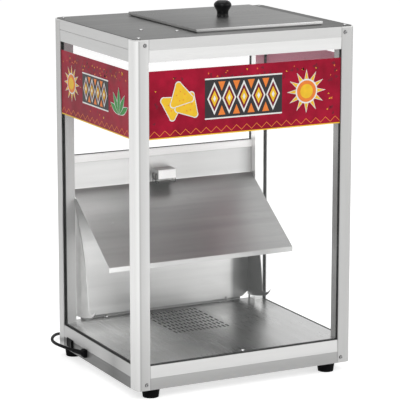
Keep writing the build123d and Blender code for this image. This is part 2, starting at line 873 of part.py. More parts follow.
lamp_x0 = lamp_centre_x - lamp_width / 2
lamp_x1 = lamp_centre_x + lamp_width / 2
lamp_z0 = lamp_z1 - lamp_height
lamp_y0 = panel_face_y - lamp_depth
hinge_rivet_z = (panel_z0 + panel_z0 - panel_lip) / 2
hinge_rivet_x = [(i - (rivet_count - 1) / 2) * rivet_pitch for i in range(rivet_count)]
lamp_screw_x = (lamp_centre_x, lamp_centre_x + lamp_screw_offset)
lamp_screw_z = (lamp_z0 + lamp_z1) / 2
socket_x = lamp_x0 + lamp_wall + socket_length / 2
socket_y = (lamp_y0 + panel_face_y) / 2
panel_boss_x = inner_half_w - panel_boss_inset
boss_places = [(sx * panel_boss_x, z) for sx in (-1, 0, 1) for z in (panel_z0 + 12, panel_z1 - 10)]
cover_y0 = panel_face_y + panel_sheet + panel_return

# The panel is a shallow tray open to the back, with a lip below it and welded bosses inside.
with BuildPart() as rear_panel:
    block((-wall_half, panel_face_y, panel_z0), (wall_half, cover_y0, panel_z1))
    block(
        (-wall_half + panel_sheet, panel_back_y, panel_z0 + panel_sheet),
        (wall_half - panel_sheet, cover_y0, panel_z1 - panel_sheet),
        Mode.SUBTRACT,
    )
    block((-wall_half, panel_face_y, panel_z0 - panel_lip), (wall_half, panel_back_y, panel_z0))
    for px, pz in boss_places:
        rod((px, panel_back_y, pz), (0, 1, 0), panel_boss_radius, panel_return)
        rod((px, panel_back_y, pz), (0, 1, 0), screw_radius, panel_return, Mode.SUBTRACT)
    for px in hinge_rivet_x:
        rod((px, panel_face_y, hinge_rivet_z), (0, 1, 0), rivet_radius, panel_sheet, Mode.SUBTRACT)
    for px in lamp_screw_x:
        rod((px, panel_face_y, lamp_screw_z), (0, 1, 0), screw_radius, panel_sheet, Mode.SUBTRACT)
    rod((socket_x, panel_face_y, socket_z), (0, 1, 0), lead_hole, panel_sheet, Mode.SUBTRACT)
    rod((-wall_half, lead_y, socket_z), (1, 0, 0), lead_hole, panel_sheet, Mode.SUBTRACT)
save(rear_panel.part, "rear_panel")

with BuildPart() as rear_cover:
    block((-wall_half, cover_y0, panel_z0), (wall_half, cover_y0 + panel_sheet, panel_z1))
    for px, pz in boss_places:
        rod((px, cover_y0, pz), (0, 1, 0), screw_hole, panel_sheet, Mode.SUBTRACT)
save(rear_cover.part, "rear_cover")
cover_seats = [((px, cover_y0 + panel_sheet, pz), (0, 1, 0)) for px, pz in boss_places]

# ---------------------------------------------------------------- baffle

baffle_slope = (panel_z0 - frame_bottom - baffle_front_z) / (panel_face_y - baffle_front_y)
baffle_fall = sheet * math.hypot(1, baffle_slope)
baffle_tip_z = frame_bottom + baffle_front_z


def baffle_top(y):
    """Height of the baffle's upper face at a distance from front to back."""
    return baffle_tip_z + (y - baffle_front_y) * baffle_slope


with BuildPart() as baffle:
    with BuildSketch(Plane.YZ):
        with BuildLine():
            Polyline(
                (panel_face_y, panel_z0),
                (baffle_front_y, baffle_tip_z),
                (baffle_front_y, baffle_tip_z - baffle_lip),
                (baffle_front_y + sheet, baffle_tip_z - baffle_lip),
                (baffle_front_y + sheet, baffle_top(baffle_front_y + sheet) - baffle_fall),
                (panel_face_y - sheet, baffle_top(panel_face_y - sheet) - baffle_fall),
                (panel_face_y - sheet, panel_z0 - baffle_flange),
                (panel_face_y, panel_z0 - baffle_flange),
                close=True,
            )
        make_face()
    extrude(amount=baffle_half_width, both=True)
    for px in hinge_rivet_x:
        rod((px, panel_face_y - sheet, hinge_rivet_z), (0, 1, 0), rivet_radius, sheet, Mode.SUBTRACT)
save(baffle.part, "baffle")

# ---------------------------------------------------------------- hinge and rear flap

knuckle_pitch = 2 * hinge_half_length / hinge_knuckles
knuckle_centres = [(i - (hinge_knuckles - 1) / 2) * knuckle_pitch for i in range(hinge_knuckles)]
knuckle_length = knuckle_pitch - hinge_end_gap


def hinge_leaf(centres, low, high, bore):
    """A hinge leaf behind the rear sheets, with its knuckles round the hinge's axis."""
    with BuildPart() as leaf:
        block((-hinge_half_length, panel_back_y, low), (hinge_half_length, panel_back_y + panel_sheet, high))
        for centre in knuckle_centres:
            if centre not in centres:
                side, reach = knuckle_pitch / 2, 2 * hinge_barrel_radius
                block(
                    (centre - side, panel_back_y, hinge_z - reach),
                    (centre + side, panel_back_y + panel_sheet, hinge_z + reach),
                    Mode.SUBTRACT,
                )
        for centre in centres:
            start = (centre - knuckle_length / 2, hinge_y, hinge_z)
            rod(start, (1, 0, 0), hinge_barrel_radius, knuckle_length)
        for centre in centres:
            block(
                (centre - knuckle_length / 2, panel_back_y, min(hinge_z, high)),
                (centre + knuckle_length / 2, panel_back_y + panel_sheet, max(hinge_z, low)),
            )
        rod((-hinge_half_length, hinge_y, hinge_z), (1, 0, 0), bore, 2 * hinge_half_length, Mode.SUBTRACT)
    return leaf.part


leaf_gap = hinge_end_gap / 2
fixed_low = hinge_z + leaf_gap
moving_high = hinge_z - leaf_gap
flap_rivet_z = flap_z1 - (panel_z0 - panel_lip / 2 - hinge_rivet_z) - rivet_head_radius - sheet
flap_leaf_low = flap_rivet_z - rivet_head_radius - sheet
with BuildPart() as hinge_leaf_fixed:
    add(hinge_leaf(knuckle_centres[::2], fixed_low, panel_z0, hinge_pin_radius))
    for px in hinge_rivet_x:
        rod((px, panel_back_y, hinge_rivet_z), (0, 1, 0), rivet_radius, panel_sheet, Mode.SUBTRACT)
save(hinge_leaf_fixed.part, "hinge_leaf_fixed")

with BuildPart() as hinge_leaf_flap:
    add(hinge_leaf(knuckle_centres[1::2], flap_leaf_low, moving_high, hinge_pin_radius + hinge_play))
    for px in hinge_rivet_x:
        rod((px, panel_back_y, flap_rivet_z), (0, 1, 0), rivet_radius, panel_sheet, Mode.SUBTRACT)
save(hinge_leaf_flap.part, "hinge_leaf_flap")

with BuildPart() as hinge_pin:
    rod((-hinge_half_length, hinge_y, hinge_z), (1, 0, 0), hinge_pin_radius, 2 * hinge_half_length)
save(hinge_pin.part, "hinge_pin")

fixed_front = panel_face_y - sheet
save(
    rivets([(px, fixed_front, hinge_rivet_z) for px in hinge_rivet_x], (0, -1, 0), sheet + 2 * panel_sheet),
    "hinge_rivets",
)
save(
    rivets([(px, panel_face_y, flap_rivet_z) for px in hinge_rivet_x], (0, -1, 0), 2 * panel_sheet),
    "flap_rivets",
)

# The flap hangs from the hinge. Its foot is a folded grip. Its sides are bent forwards into
# cheeks that widen downwards and end in hooks on an arc about the hinge.
grip_back_y = panel_back_y + flap_grip
cheek_front_y = panel_face_y - cheek_depth
cheek_low_z = hinge_z - cheek_radius
hook_tip = (panel_face_y - hook_reach, cheek_low_z + hook_rise)
hook_top_z = cheek_low_z + hook_root
cheek_brow = (panel_face_y - cheek_brow_depth, hinge_z - cheek_brow_drop)
cheek_waist = (panel_face_y - cheek_waist_depth, hinge_z - cheek_waist_drop)


def arc_z(y):
    """Height of the cheeks' lower edge, an arc about the hinge's axis."""
    return hinge_z - math.sqrt(cheek_radius**2 - (hinge_y - y) ** 2)


with BuildPart() as rear_flap:
    with BuildSketch(Plane.XZ.offset(-panel_face_y)):
        with BuildLine():
            Polyline(
                (-flap_half_width, flap_z0 + flap_chamfer_z),
                (-flap_half_width + flap_chamfer_x, flap_z0),
                (flap_half_width - flap_chamfer_x, flap_z0),
                (flap_half_width, flap_z0 + flap_chamfer_z),
                (flap_half_width, flap_z1),
                (-flap_half_width, flap_z1),
                close=True,
            )
        make_face()
    extrude(amount=-panel_sheet)
    block(
        (-flap_half_width + flap_chamfer_x, panel_face_y, flap_z0),
        (flap_half_width - flap_chamfer_x, grip_back_y, flap_z0 + panel_sheet),
    )
    block(
        (-flap_half_width + flap_chamfer_x, grip_back_y - panel_sheet, bottom_rail_top + flap_lip_gap),
        (flap_half_width - flap_chamfer_x, grip_back_y, flap_z0),
    )
    with BuildSketch(
        Plane.YZ.offset(-flap_half_width), Plane.YZ.offset(flap_half_width - panel_sheet)
    ):
        with BuildLine():
            lower = ThreePointArc(
                (panel_back_y, flap_z0 + cheek_heel_rise),
                ((panel_back_y + cheek_front_y) / 2, arc_z((panel_back_y + cheek_front_y) / 2)),
                (cheek_front_y, arc_z(cheek_front_y)),
            )
            beak = ThreePointArc(
                lower @ 1,
                ((cheek_front_y + hook_tip[0]) / 2 - 2, (arc_z(cheek_front_y) + hook_tip[1]) / 2 - 4),
                hook_tip,
            )
            crest = ThreePointArc(
                beak @ 1,
                ((cheek_front_y + hook_tip[0]) / 2, hook_top_z + 1),
                (cheek_front_y, hook_top_z),
            )
            swell = ThreePointArc(crest @ 1, cheek_waist, cheek_brow)
            Polyline(
                swell @ 1,
                (panel_face_y, flap_z1),
                (panel_back_y, flap_z1),
                lower @ 0,
            )
        make_face()
    extrude(amount=panel_sheet)
    for px in hinge_rivet_x:
        rod((px, panel_face_y, flap_rivet_z), (0, 1, 0), rivet_radius, panel_sheet, Mode.SUBTRACT)
save(rear_flap.part, "rear_flap")

# ---------------------------------------------------------------- lamp under the panel's middle

with BuildPart() as lamp_housing:
    block((lamp_x0, lamp_y0, lamp_z0), (lamp_x1, panel_face_y, lamp_z1))
    fillet(lamp_housing.edges().filter_by(Axis.X).group_by(Axis.Z)[-1].sort_by(Axis.Y)[0], lamp_wall * 2)
    block(
        (lamp_x0 + lamp_wall, lamp_y0 + lamp_wall, lamp_z0),
        (lamp_x1 - lamp_wall, panel_face_y - lamp_wall, lamp_z1 - lamp_wall),
        Mode.SUBTRACT,
    )
    for px in lamp_screw_x:
        rod((px, panel_face_y, lamp_screw_z), (0, -1, 0), screw_hole, lamp_wall, Mode.SUBTRACT)
    rod((socket_x, panel_face_y, socket_z), (0, -1, 0), lead_hole, lamp_wall, Mode.SUBTRACT)
save(lamp_housing.part, "lamp_housing")

lamp_screw_seats = [((px, panel_face_y - lamp_wall, lamp_screw_z), (0, -1, 0)) for px in lamp_screw_x]

# The short screws: of the roof, the floor, the base pan, the rear cover, the lamp and the feet.
with BuildPart() as short_screws:
    for seats, reach in (
        ([((px, py, roof_top), up) for px, py in top_corner_screws], cap_plug_length),
        ([((px, py, roof_top), up) for px, py in stiffener_screws], sheet + stiffener_thickness),
        ([((px, py, floor_top), up) for px, py in floor_screw_places], floor_screw_length),
        ([((px, py, pan_bottom), down) for px, py in pan_screw_places], pan_screw_length),
        (cover_seats, cover_screw_length),
        (lamp_screw_seats, lamp_screw_length),
        (foot_screw_seats, foot_screw_length),
    ):
        add(pan_screws(seats, reach))
save(short_screws.part, "short_screws")

with BuildPart() as lamp_socket:
    block(
        (lamp_x0 + lamp_wall, socket_y - socket_size / 2, socket_z - socket_size / 2),
        (lamp_x0 + lamp_wall + socket_length, socket_y + socket_size / 2, socket_z + socket_size / 2),
    )
save(lamp_socket.part, "lamp_socket")

with BuildPart() as lamp_bulb:
    rod((lamp_x0 + lamp_wall + socket_length, socket_y, socket_z), (1, 0, 0), bulb_radius, bulb_length)
    fillet(lamp_bulb.edges().group_by(Axis.X)[-1], bulb_radius * 0.9)
save(lamp_bulb.part, "lamp_bulb")

cover_x0, cover_x1 = lamp_x0 + cover_inset, lamp_x1 - cover_inset
cover_y0_dish, cover_y1_dish = lamp_y0 + cover_inset, panel_face_y - running_gap
cover_z0 = lamp_z0 - cover_drop
with BuildPart() as lamp_cover:
    block((cover_x0, cover_y0_dish, cover_z0), (cover_x1, cover_y1_dish, lamp_z0))
    fillet(lamp_cover.edges().group_by(Axis.Z)[0], 2 * cover_wall)
    block(
        (cover_x0 + cover_wall, cover_y0_dish + cover_wall, cover_z0 + cover_wall),
        (cover_x1 - cover_wall, cover_y1_dish - cover_wall, lamp_z0),
        Mode.SUBTRACT,
    )
save(lamp_cover.part, "lamp_cover")

# Two spring wire clips hold the dish; each is hooked into an end of the housing.
clip_half = lamp_depth / 4
clip_top = lamp_z0 + lamp_height / 2
clip_low = cover_z0 - clip_wire_radius
clip_out = lamp_x0 - clip_stand
clip_in = cover_x0 + 2 * cover_wall + clip_stand
with BuildPart() as lamp_clips:
    with BuildLine():
        wire = FilletPolyline(
            (lamp_x0, socket_y - clip_half, clip_top),
            (clip_out, socket_y - clip_half, clip_top),
            (clip_out, socket_y - clip_half, clip_low),
            (clip_in, socket_y - clip_half, clip_low),
            (clip_in, socket_y + clip_half, clip_low),
            (clip_out, socket_y + clip_half, clip_low),
            (clip_out, socket_y + clip_half, clip_top),
            (lamp_x0, socket_y + clip_half, clip_top),
            radius=clip_wire_radius * 1.2,
        )
    with BuildSketch(Plane(origin=wire @ 0, z_dir=wire % 0)):
        Circle(clip_wire_radius)
    sweep()
    mirror(about=Plane.YZ.offset(lamp_centre_x))
save(lamp_clips.part, "lamp_clips")


def lead(points, radius=lead_radius, bend=4 * lead_radius):
    """A round insulated lead or bar along a line of points with rounded corners."""
    with BuildPart() as body:
        with BuildLine():
            run = FilletPolyline(*points, radius=bend) if len(points) > 2 else Line(*points)
        with BuildSketch(Plane(origin=run @ 0, z_dir=run % 0)):
            Circle(radius)
        sweep()
    return body.part


# ---------------------------------------------------------------- heater under the grille

tray_y0 = grille_centre_y - tray_depth / 2
tray_y1 = grille_centre_y + tray_depth / 2
tray_floor = floor_bottom - tray_height
with BuildPart() as heater_tray:
    block((-tray_width / 2, tray_y0, tray_floor), (tray_width / 2, tray_y1, floor_bottom))
    block(
        (-tray_width / 2 - tray_flange, tray_y0, floor_bottom - sheet),
        (tray_width / 2 + tray_flange, tray_y1, floor_bottom),
    )
    block(
        (-tray_width / 2 + sheet, tray_y0 + sheet, tray_floor + sheet),
        (tray_width / 2 - sheet, tray_y1 - sheet, floor_bottom),
        Mode.SUBTRACT,
    )
    for x in (-heater_half_width, heater_half_width):
        rod(
            (x, tray_y0, floor_bottom - heater_drop),
            (0, 1, 0),
            heater_radius + hole_clearance,
            sheet,
            Mode.SUBTRACT,
        )
save(heater_tray.part, "heater_tray")

heater_level = floor_bottom - heater_drop
pass_gap = 2 * heater_half_width / (heater_passes - 1)
pass_x = [-heater_half_width + i * pass_gap for i in range(heater_passes)]
heater_y0 = grille_centre_y - heater_half_depth
heater_y1 = grille_centre_y + heater_half_depth
heater_end_y = tray_y0 - heater_drop
heater_points = []
for i, x in enumerate(pass_x):
    near = heater_end_y if i in (0, heater_passes - 1) else heater_y0
    ends = (near, heater_y1) if i % 2 == 0 else (heater_y1, near)
    heater_points += [(x, ends[0], heater_level), (x, ends[1], heater_level)]
save(lead(heater_points, heater_radius, pass_gap / 2 - 0.1), "heater_element")

# Two plates across the tray carry the element in round notches.
with BuildPart() as heater_brackets:
    for y in (grille_centre_y - bracket_spread, grille_centre_y + bracket_spread):
        with BuildSketch(Plane.XZ.offset(-y)):
            with Locations((0, (tray_floor + sheet + heater_level) / 2)):
                Rectangle(
                    2 * heater_half_width + 4 * heater_radius,
                    heater_level - tray_floor - sheet,
                )
            with Locations(*((x, heater_level) for x in pass_x)):
                Circle(heater_radius, mode=Mode.SUBTRACT)
        extrude(amount=bracket_thickness)
save(heater_brackets.part, "heater_brackets")

with BuildPart() as thermostat:
    rod((thermostat_x, gland_y, tray_floor), (0, 0, -1), thermostat_radius, thermostat_height)
save(thermostat.part, "thermostat")

block_top = frame_bottom + terminal_height
block_x0, block_x1 = terminal_x - terminal_width / 2, terminal_x + terminal_width / 2
block_y0, block_y1 = gland_y - terminal_depth / 2, gland_y + terminal_depth / 2
way_pitch = terminal_width / terminal_ways
with BuildPart() as terminal_block:
    block((block_x0, block_y0, frame_bottom), (block_x1, block_y1, block_top))
    for i in range(terminal_ways):
        way_x = block_x0 + (i + 0.5) * way_pitch
        for y in (gland_y - terminal_depth / 4, gland_y + terminal_depth / 4):
            rod((way_x, y, block_top), (0, 0, -1), screw_radius, terminal_height / 3, Mode.SUBTRACT)
save(terminal_block.part, "terminal_block")

# ---------------------------------------------------------------- rocker switch in the left rail

switch_face = -half_w
well_w = switch_well_length / 2
well_h = switch_well_height / 2
body_w = well_w + switch_wall
body_h = well_h + switch_wall
well_depth = 3 * rocker_pivot_depth
pivot_x = switch_face + rocker_pivot_depth
trunnion_hole = rocker_trunnion_radius + hinge_play
with BuildPart() as switch_body:
    block(
        (switch_face, switch_y - body_w, switch_level - body_h),
        (switch_face + switch_body_depth, switch_y + body_w, switch_level + body_h),
    )
    block(
        (switch_face - bezel_thickness, switch_y - bezel_length / 2, switch_level - bezel_height / 2),
        (switch_face, switch_y + bezel_length / 2, switch_level + bezel_height / 2),
    )
    chamfer(switch_body.edges().group_by(Axis.X)[0], bezel_thickness / 2)
    block(
        (switch_face - bezel_thickness, switch_y - well_w, switch_level - well_h),
        (switch_face + well_depth, switch_y + well_w, switch_level + well_h),
        Mode.SUBTRACT,
    )
    rod((pivot_x, switch_y, switch_level - body_h), up, trunnion_hole, 2 * body_h, Mode.SUBTRACT)
save(switch_body.part, "switch_body")

rocker_w = well_w - rocker_end_gap
rocker_h = well_h - rocker_side_gap
rocker_toe = rocker_w - rocker_trunnion_radius
rocker_heel = rocker_pivot_depth + 2 * rocker_trunnion_radius
with BuildPart() as switch_rocker:
    with BuildSketch(Plane.XY.offset(switch_level - rocker_h)):
        with BuildLine():
            Polyline(
                (switch_face - rocker_valley - rocker_rise, switch_y - rocker_w),
                (switch_face - rocker_valley, switch_y),
                (switch_face - rocker_valley - rocker_rise, switch_y + rocker_w),
                (pivot_x, switch_y + rocker_toe),
                (switch_face + rocker_heel, switch_y + rocker_w / 3),
                (switch_face + rocker_heel, switch_y - rocker_w / 3),
                (pivot_x, switch_y - rocker_toe),
                close=True,
            )
        make_face()
    extrude(amount=2 * rocker_h)
    trunnion_length = 2 * (body_h - hinge_play)
    rod(
        (pivot_x, switch_y, switch_level - trunnion_length / 2),
        up,
        rocker_trunnion_radius,
        trunnion_length,
    )
tilted_rocker = switch_rocker.part.rotate(Axis((pivot_x, switch_y, 0), up), -rocker_tilt)
save(tilted_rocker, "switch_rocker")

# ---------------------------------------------------------------- cord gland

sleeve_way = Vector(*sleeve_direction).normalized()
sleeve_root = Vector(-half_w - gland_stand + sleeve_setback, gland_y, gland_level)
sleeve_tip = sleeve_root + sleeve_way * sleeve_length
sleeve_taper = math.degrees(math.atan2(sleeve_start_radius - sleeve_end_radius, sleeve_length))
with BuildPart() as cord_gland:
    block(
        (-half_w - gland_stand, gland_y - gland_width / 2, gland_level - gland_height / 2),
        (-half_w, gland_y + gland_width / 2, gland_level + gland_height / 2),
    )
    fillet(cord_gland.edges().group_by(Axis.X)[0], sleeve_start_radius / 2)
    rod((-half_w, gland_y, gland_level), (1, 0, 0), gland_neck_radius, gland_neck_length)
    with BuildSketch(Plane(origin=sleeve_root, z_dir=sleeve_way)) as sleeve_foot:
        Circle(sleeve_start_radius)
    extrude(sleeve_foot.sketch, amount=sleeve_length, taper=sleeve_taper)
save(cord_gland.part, "cord_gland")

# ---------------------------------------------------------------- leads in the base

neck_end = -half_w + gland_neck_length
switch_back = switch_face + switch_body_depth
entry = frame_bottom + terminal_height / 2
feed_x = terminal_x - way_pitch / 2
out_x = terminal_x + way_pitch / 2
heater_lead_y = heater_end_y - tray_flange
with BuildPart() as inner_leads:
    for y in (gland_y - 2 * lead_radius, gland_y + 2 * lead_radius):
        start, stop = Vector(neck_end, y, gland_level), Vector(block_x0, y, entry)
        add(
            lead(
                (
                    start,
                    start + Vector(12, 0, 0),
                    stop - Vector(24, 0, 0),
                    stop,
                )
            )
        )
    for y, x, turn_y in (
        (switch_y - body_w / 2, feed_x, block_y1 + 24),
        (switch_y + body_w / 2, out_x, block_y1 + 34),
    ):
        add(
            lead(
                (
                    (switch_back, y, switch_level),
                    (switch_back + 20 + (y - switch_y), y, switch_level),
                    (x, turn_y, entry),
                    (x, block_y1, entry),
                )
            )
        )
    for x, end_x, turn_y in (
        (feed_x, -heater_half_width, heater_lead_y - 24),
        (out_x, heater_half_width, heater_lead_y - 38),
    ):
        add(
            lead(
                (
                    (x, block_y0, entry),
                    (x, block_y0 - 40, entry),
                    (x + 40, turn_y, (entry + heater_level) / 2),
                    (end_x, turn_y, heater_level),
                    (end_x, heater_end_y, heater_level),
                )
            )
        )
    add(
        lead(
            (
                (block_x1, gland_y, entry + lead_radius),
                (thermostat_x - thermostat_radius, gland_y, entry + lead_radius),
            )
        )
    )
    add(
        lead(
            (
                (socket_x, socket_y + socket_size / 2, socket_z),
                (socket_x, lead_y, socket_z),
                (lead_core_x, lead_y, socket_z),
                (lead_core_x, lead_y, lead_exit_z),
                (lead_core_x, switch_y + switch_cut_y, lead_exit_z),
            ),
            bend=1.4 * lead_radius,
        )
    )
save(inner_leads.part, "inner_leads")

# ---------------------------------------------------------------- mains cord, coil and plug


def bend_radii(points):
    """A bend radius for each inner point, from its shorter run and its turn."""
    radii = []
    for a, b, c in zip(points, points[1:], points[2:]):
        before, after = b - a, c - b
        half_turn = math.radians(before.get_angle(after)) / 2
        radii.append(0.45 * min(before.length, after.length) / math.tan(half_turn))
    return radii


def bent_run(points):
    """Straight runs joined by tangent arcs, drawn in the open line."""
    radii = bend_radii(points)
    print("bend radii", [round(radius, 1) for radius in radii])
    start = points[0]
    for corner, after, before, radius in zip(points[1:-1], points[2:], points[:-2], radii):
        way_in = (corner - before).normalized()
        way_out = (after - corner).normalized()
        cut = radius * math.tan(math.radians(way_in.get_angle(way_out)) / 2)
        arc_start = corner - way_in * cut
        arc_end = corner + way_out * cut
        Line(start, arc_start)
        TangentArc(arc_start, arc_end, tangent=way_in)
        start = arc_end
    Line(start, points[-1])


coil_start = Vector(coil_centre_x - 2 * cord_radius, coil_centre_y + coil_outer_radius, cord_radius)
cord_points = [
    sleeve_tip,
    sleeve_tip + sleeve_way * 11,
    *(Vector(x, y, z) for x, y, z in cord_route),
    coil_start,
]
with BuildPart() as power_cord:
    with BuildLine() as cord_line:
        bent_run(cord_points)
    with BuildSketch(Plane(origin=cord_points[0], z_dir=sleeve_way)):
        Circle(cord_radius)
    sweep(path=cord_line.wire())
save(power_cord.part, "power_cord")
cord_length = cord_line.wire().length
cord_section = math.pi * cord_radius**2
cord_share = power_cord.part.volume / cord_length / cord_section
print("cord length", round(cord_length, 1), "volume share", round(cord_share, 4))

# The coil is one tube: half-turn arcs inwards on the lower layer, one half-turn that climbs,
# and half-turn arcs outwards on the upper layer.
inner_radius = coil_outer_radius - coil_turns_in * coil_step
top_level = cord_radius + coil_layer_rise
turn_points = []
for i in range(coil_turns_in + 1):
    side = 1 if i % 2 == 0 else -1
    radius = coil_outer_radius - i * coil_step
    turn_points.append(Vector(coil_centre_x, coil_centre_y + side * radius, cord_radius))
for i in range(coil_turns_out + 1):
    side = -1 if (coil_turns_in + i) % 2 == 0 else 1
    radius = inner_radius + i * coil_step
    turn_points.append(Vector(coil_centre_x, coil_centre_y + side * radius, top_level))
last_turn = turn_points[-1]
plug_start = Vector(last_turn.X + 2 * tail_run + tail_rise_run, last_turn.Y, plug_radius)
tail_points = [
    last_turn,
    last_turn + Vector(tail_run, 0, 0),
    plug_start - Vector(tail_run, 0, 0),
    plug_start,
]
with BuildPart() as cord_coil:
    with BuildLine() as coil_line:
        Line(coil_start, turn_points[0])
        for i, (a, b) in enumerate(zip(turn_points, turn_points[1:])):
            way = Vector(1 if i % 2 == 0 else -1, 0, 0)
            TangentArc(a, b, tangent=way)
        bent_run(tail_points)
    with BuildSketch(Plane(origin=coil_start, z_dir=(1, 0, 0))):
        Circle(cord_radius)
    sweep(path=coil_line.wire())
save(cord_coil.part, "cord_coil")
coil_length = coil_line.wire().length
samples = [coil_line.wire().position_at(i / 600) for i in range(601)]
apart = round(math.pi * inner_radius / (coil_length / 600))
least = min((a - b).length for i, a in enumerate(samples) for b in samples[i + apart :])
print("least gap of the coil to itself", round(least - 2 * cord_radius, 2))
coil_share = cord_coil.part.volume / coil_length / cord_section
print("coil length", round(coil_length, 1), "volume share", round(coil_share, 4))

# The plug lies on the standing surface.
plug_length = plug_neck_length + plug_body_length
with BuildPart() as power_plug:
    with BuildSketch(Plane(origin=plug_start, x_dir=(1, 0, 0), z_dir=(0, -1, 0))):
        with BuildLine():
            Polyline(
                (0, 0),
                (0, plug_neck_radius),
                (plug_neck_length, plug_neck_radius * 1.5),
                (plug_neck_length + plug_neck_radius, plug_radius),
                (plug_length - 2 * sheet, plug_radius),
                (plug_length, plug_radius - 2 * sheet),
                (plug_length, 0),
                close=True,
            )
        make_face()
    revolve(axis=Axis(plug_start, (1, 0, 0)))
save(power_plug.part, "power_plug")

with BuildPart() as plug_pins:
    for side in (-1, 1):
        pin_start = plug_start + Vector(plug_length, side * plug_pin_spacing / 2, 0)
        rod(pin_start, (1, 0, 0), plug_pin_radius, plug_pin_length)
    fillet(plug_pins.edges().group_by(Axis.X)[-1], plug_pin_radius * 0.6)
save(plug_pins.part, "plug_pins")
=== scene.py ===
import math
import random

import bmesh
import bpy
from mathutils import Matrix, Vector


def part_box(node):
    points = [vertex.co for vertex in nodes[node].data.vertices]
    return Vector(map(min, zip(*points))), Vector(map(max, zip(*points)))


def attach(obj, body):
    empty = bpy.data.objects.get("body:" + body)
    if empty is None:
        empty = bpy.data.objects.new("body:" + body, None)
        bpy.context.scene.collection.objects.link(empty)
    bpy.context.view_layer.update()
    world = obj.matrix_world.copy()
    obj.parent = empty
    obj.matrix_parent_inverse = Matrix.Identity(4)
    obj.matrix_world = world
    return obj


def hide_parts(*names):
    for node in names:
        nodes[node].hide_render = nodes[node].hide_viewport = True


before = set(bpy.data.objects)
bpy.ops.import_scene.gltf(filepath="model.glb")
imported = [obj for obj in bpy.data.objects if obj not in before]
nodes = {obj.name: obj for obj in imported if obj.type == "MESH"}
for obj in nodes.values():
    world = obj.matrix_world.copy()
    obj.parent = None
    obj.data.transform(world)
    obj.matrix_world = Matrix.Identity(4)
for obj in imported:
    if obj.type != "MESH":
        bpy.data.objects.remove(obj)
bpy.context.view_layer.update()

# ---------------------------------------------------------------- camera and stage

WHITE = (1, 1, 1, 1)


def placed(name, data):
    """A new object in the scene."""
    made = bpy.data.objects.new(name, data)
    bpy.context.scene.collection.objects.link(made)
    return made


# The camera's place, angles and lens are fitted to the photograph.
camera = placed("camera", bpy.data.cameras.new("camera"))
camera.location = (-1.81411, -3.56905, 1.17127)
camera.rotation_euler = (math.radians(90 - 12.003), 0, math.radians(-26.885))
camera.data.sensor_width = 36
camera.data.lens = 193.52
bpy.context.scene.camera = camera
bpy.context.scene.view_settings.view_transform = "Standard"


def tree_of(name):
    """A new material with its node tree emptied."""
    made = bpy.data.materials.new(name)
    made.use_nodes = True
    made.node_tree.nodes.clear()
    return made, made.node_tree


def join(tree, a, a_socket, b, b_socket):
    tree.links.new(a.outputs[a_socket], b.inputs[b_socket])


def seen_directly(tree):
    """1 for rays from the camera, from gloss and through glass, 0 for the light on the object."""
    path = tree.nodes.new("ShaderNodeLightPath")
    first = tree.nodes.new("ShaderNodeMath")
    first.operation = "MAXIMUM"
    second = tree.nodes.new("ShaderNodeMath")
    second.operation = "MAXIMUM"
    join(tree, path, "Is Camera Ray", first, 0)
    join(tree, path, "Is Glossy Ray", first, 1)
    join(tree, first, 0, second, 0)
    join(tree, path, "Is Transmission Ray", second, 1)
    return second


def background(tree, strength):
    """A white background."""
    made = tree.nodes.new("ShaderNodeBackground")
    made.inputs["Color"].default_value = WHITE
    made.inputs["Strength"].default_value = strength
    return made


sky_light, sky_seen = 0.55, 1.0
world = bpy.data.worlds.new("world")
bpy.context.scene.world = world
world.use_nodes = True
tree = world.node_tree
tree.nodes.clear()
sky_out = tree.nodes.new("ShaderNodeOutputWorld")
sky_mix = tree.nodes.new("ShaderNodeMixShader")
join(tree, seen_directly(tree), 0, sky_mix, 0)
join(tree, background(tree, sky_light), 0, sky_mix, 1)
join(tree, background(tree, sky_seen), 0, sky_mix, 2)
join(tree, sky_mix, 0, sky_out, 0)

far, floor_grey, glow_strength = 30, 0.72, 0.60
floor_mesh = bpy.data.meshes.new("stage_floor")
floor_mesh.from_pydata([(-far, -far, 0), (far, -far, 0), (far, far, 0), (-far, far, 0)], [], [(0, 1, 2, 3)])
stage_floor = placed("stage_floor", floor_mesh)
floor_material, tree = tree_of("stage_floor")
floor_out = tree.nodes.new("ShaderNodeOutputMaterial")
floor_add = tree.nodes.new("ShaderNodeAddShader")
floor_matt = tree.nodes.new("ShaderNodeBsdfDiffuse")
floor_matt.inputs["Color"].default_value = (floor_grey, floor_grey, floor_grey, 1)
floor_glow = tree.nodes.new("ShaderNodeEmission")
floor_glow.inputs["Color"].default_value = WHITE
glow_level = tree.nodes.new("ShaderNodeMath")
glow_level.operation = "MULTIPLY"
glow_level.inputs[1].default_value = glow_strength
join(tree, seen_directly(tree), 0, glow_level, 0)
join(tree, glow_level, 0, floor_glow, "Strength")
join(tree, floor_matt, 0, floor_add, 0)
join(tree, floor_glow, 0, floor_add, 1)
join(tree, floor_add, 0, floor_out, 0)
stage_floor.data.materials.append(floor_material)


def lamp(name, place, size, watts):
    """A soft square lamp aimed at the cabinet."""
    light = bpy.data.lights.new(name, "AREA")
    light.size = size
    light.energy = watts
    holder = placed(name, light)
    holder.location = place
    holder.rotation_euler = (lit_point - Vector(place)).to_track_quat("-Z", "Y").to_euler()


lit_point = Vector((0, 0, 0.3))
lamp("key", (-1.9, -2.6, 2.5), 2.2, 50)
lamp("fill", (2.3, -2.2, 1.7), 2.4, 26)
lamp("top", (0.2, 0.5, 3.4), 2.4, 30)

# ---------------------------------------------------------------- materials

NOISE_LOW, NOISE_HIGH = 0.3, 0.7  # most of a noise lies between these
MIX_FIRST, MIX_SECOND, MIX_RESULT = 6, 7, 2  # the colour sockets of a Mix node
SMUDGE_SCALE, SMUDGE_DETAIL = 9.0, 5.0
RELIEF_DEPTH, RELIEF_DETAIL = 0.0004, 2.0


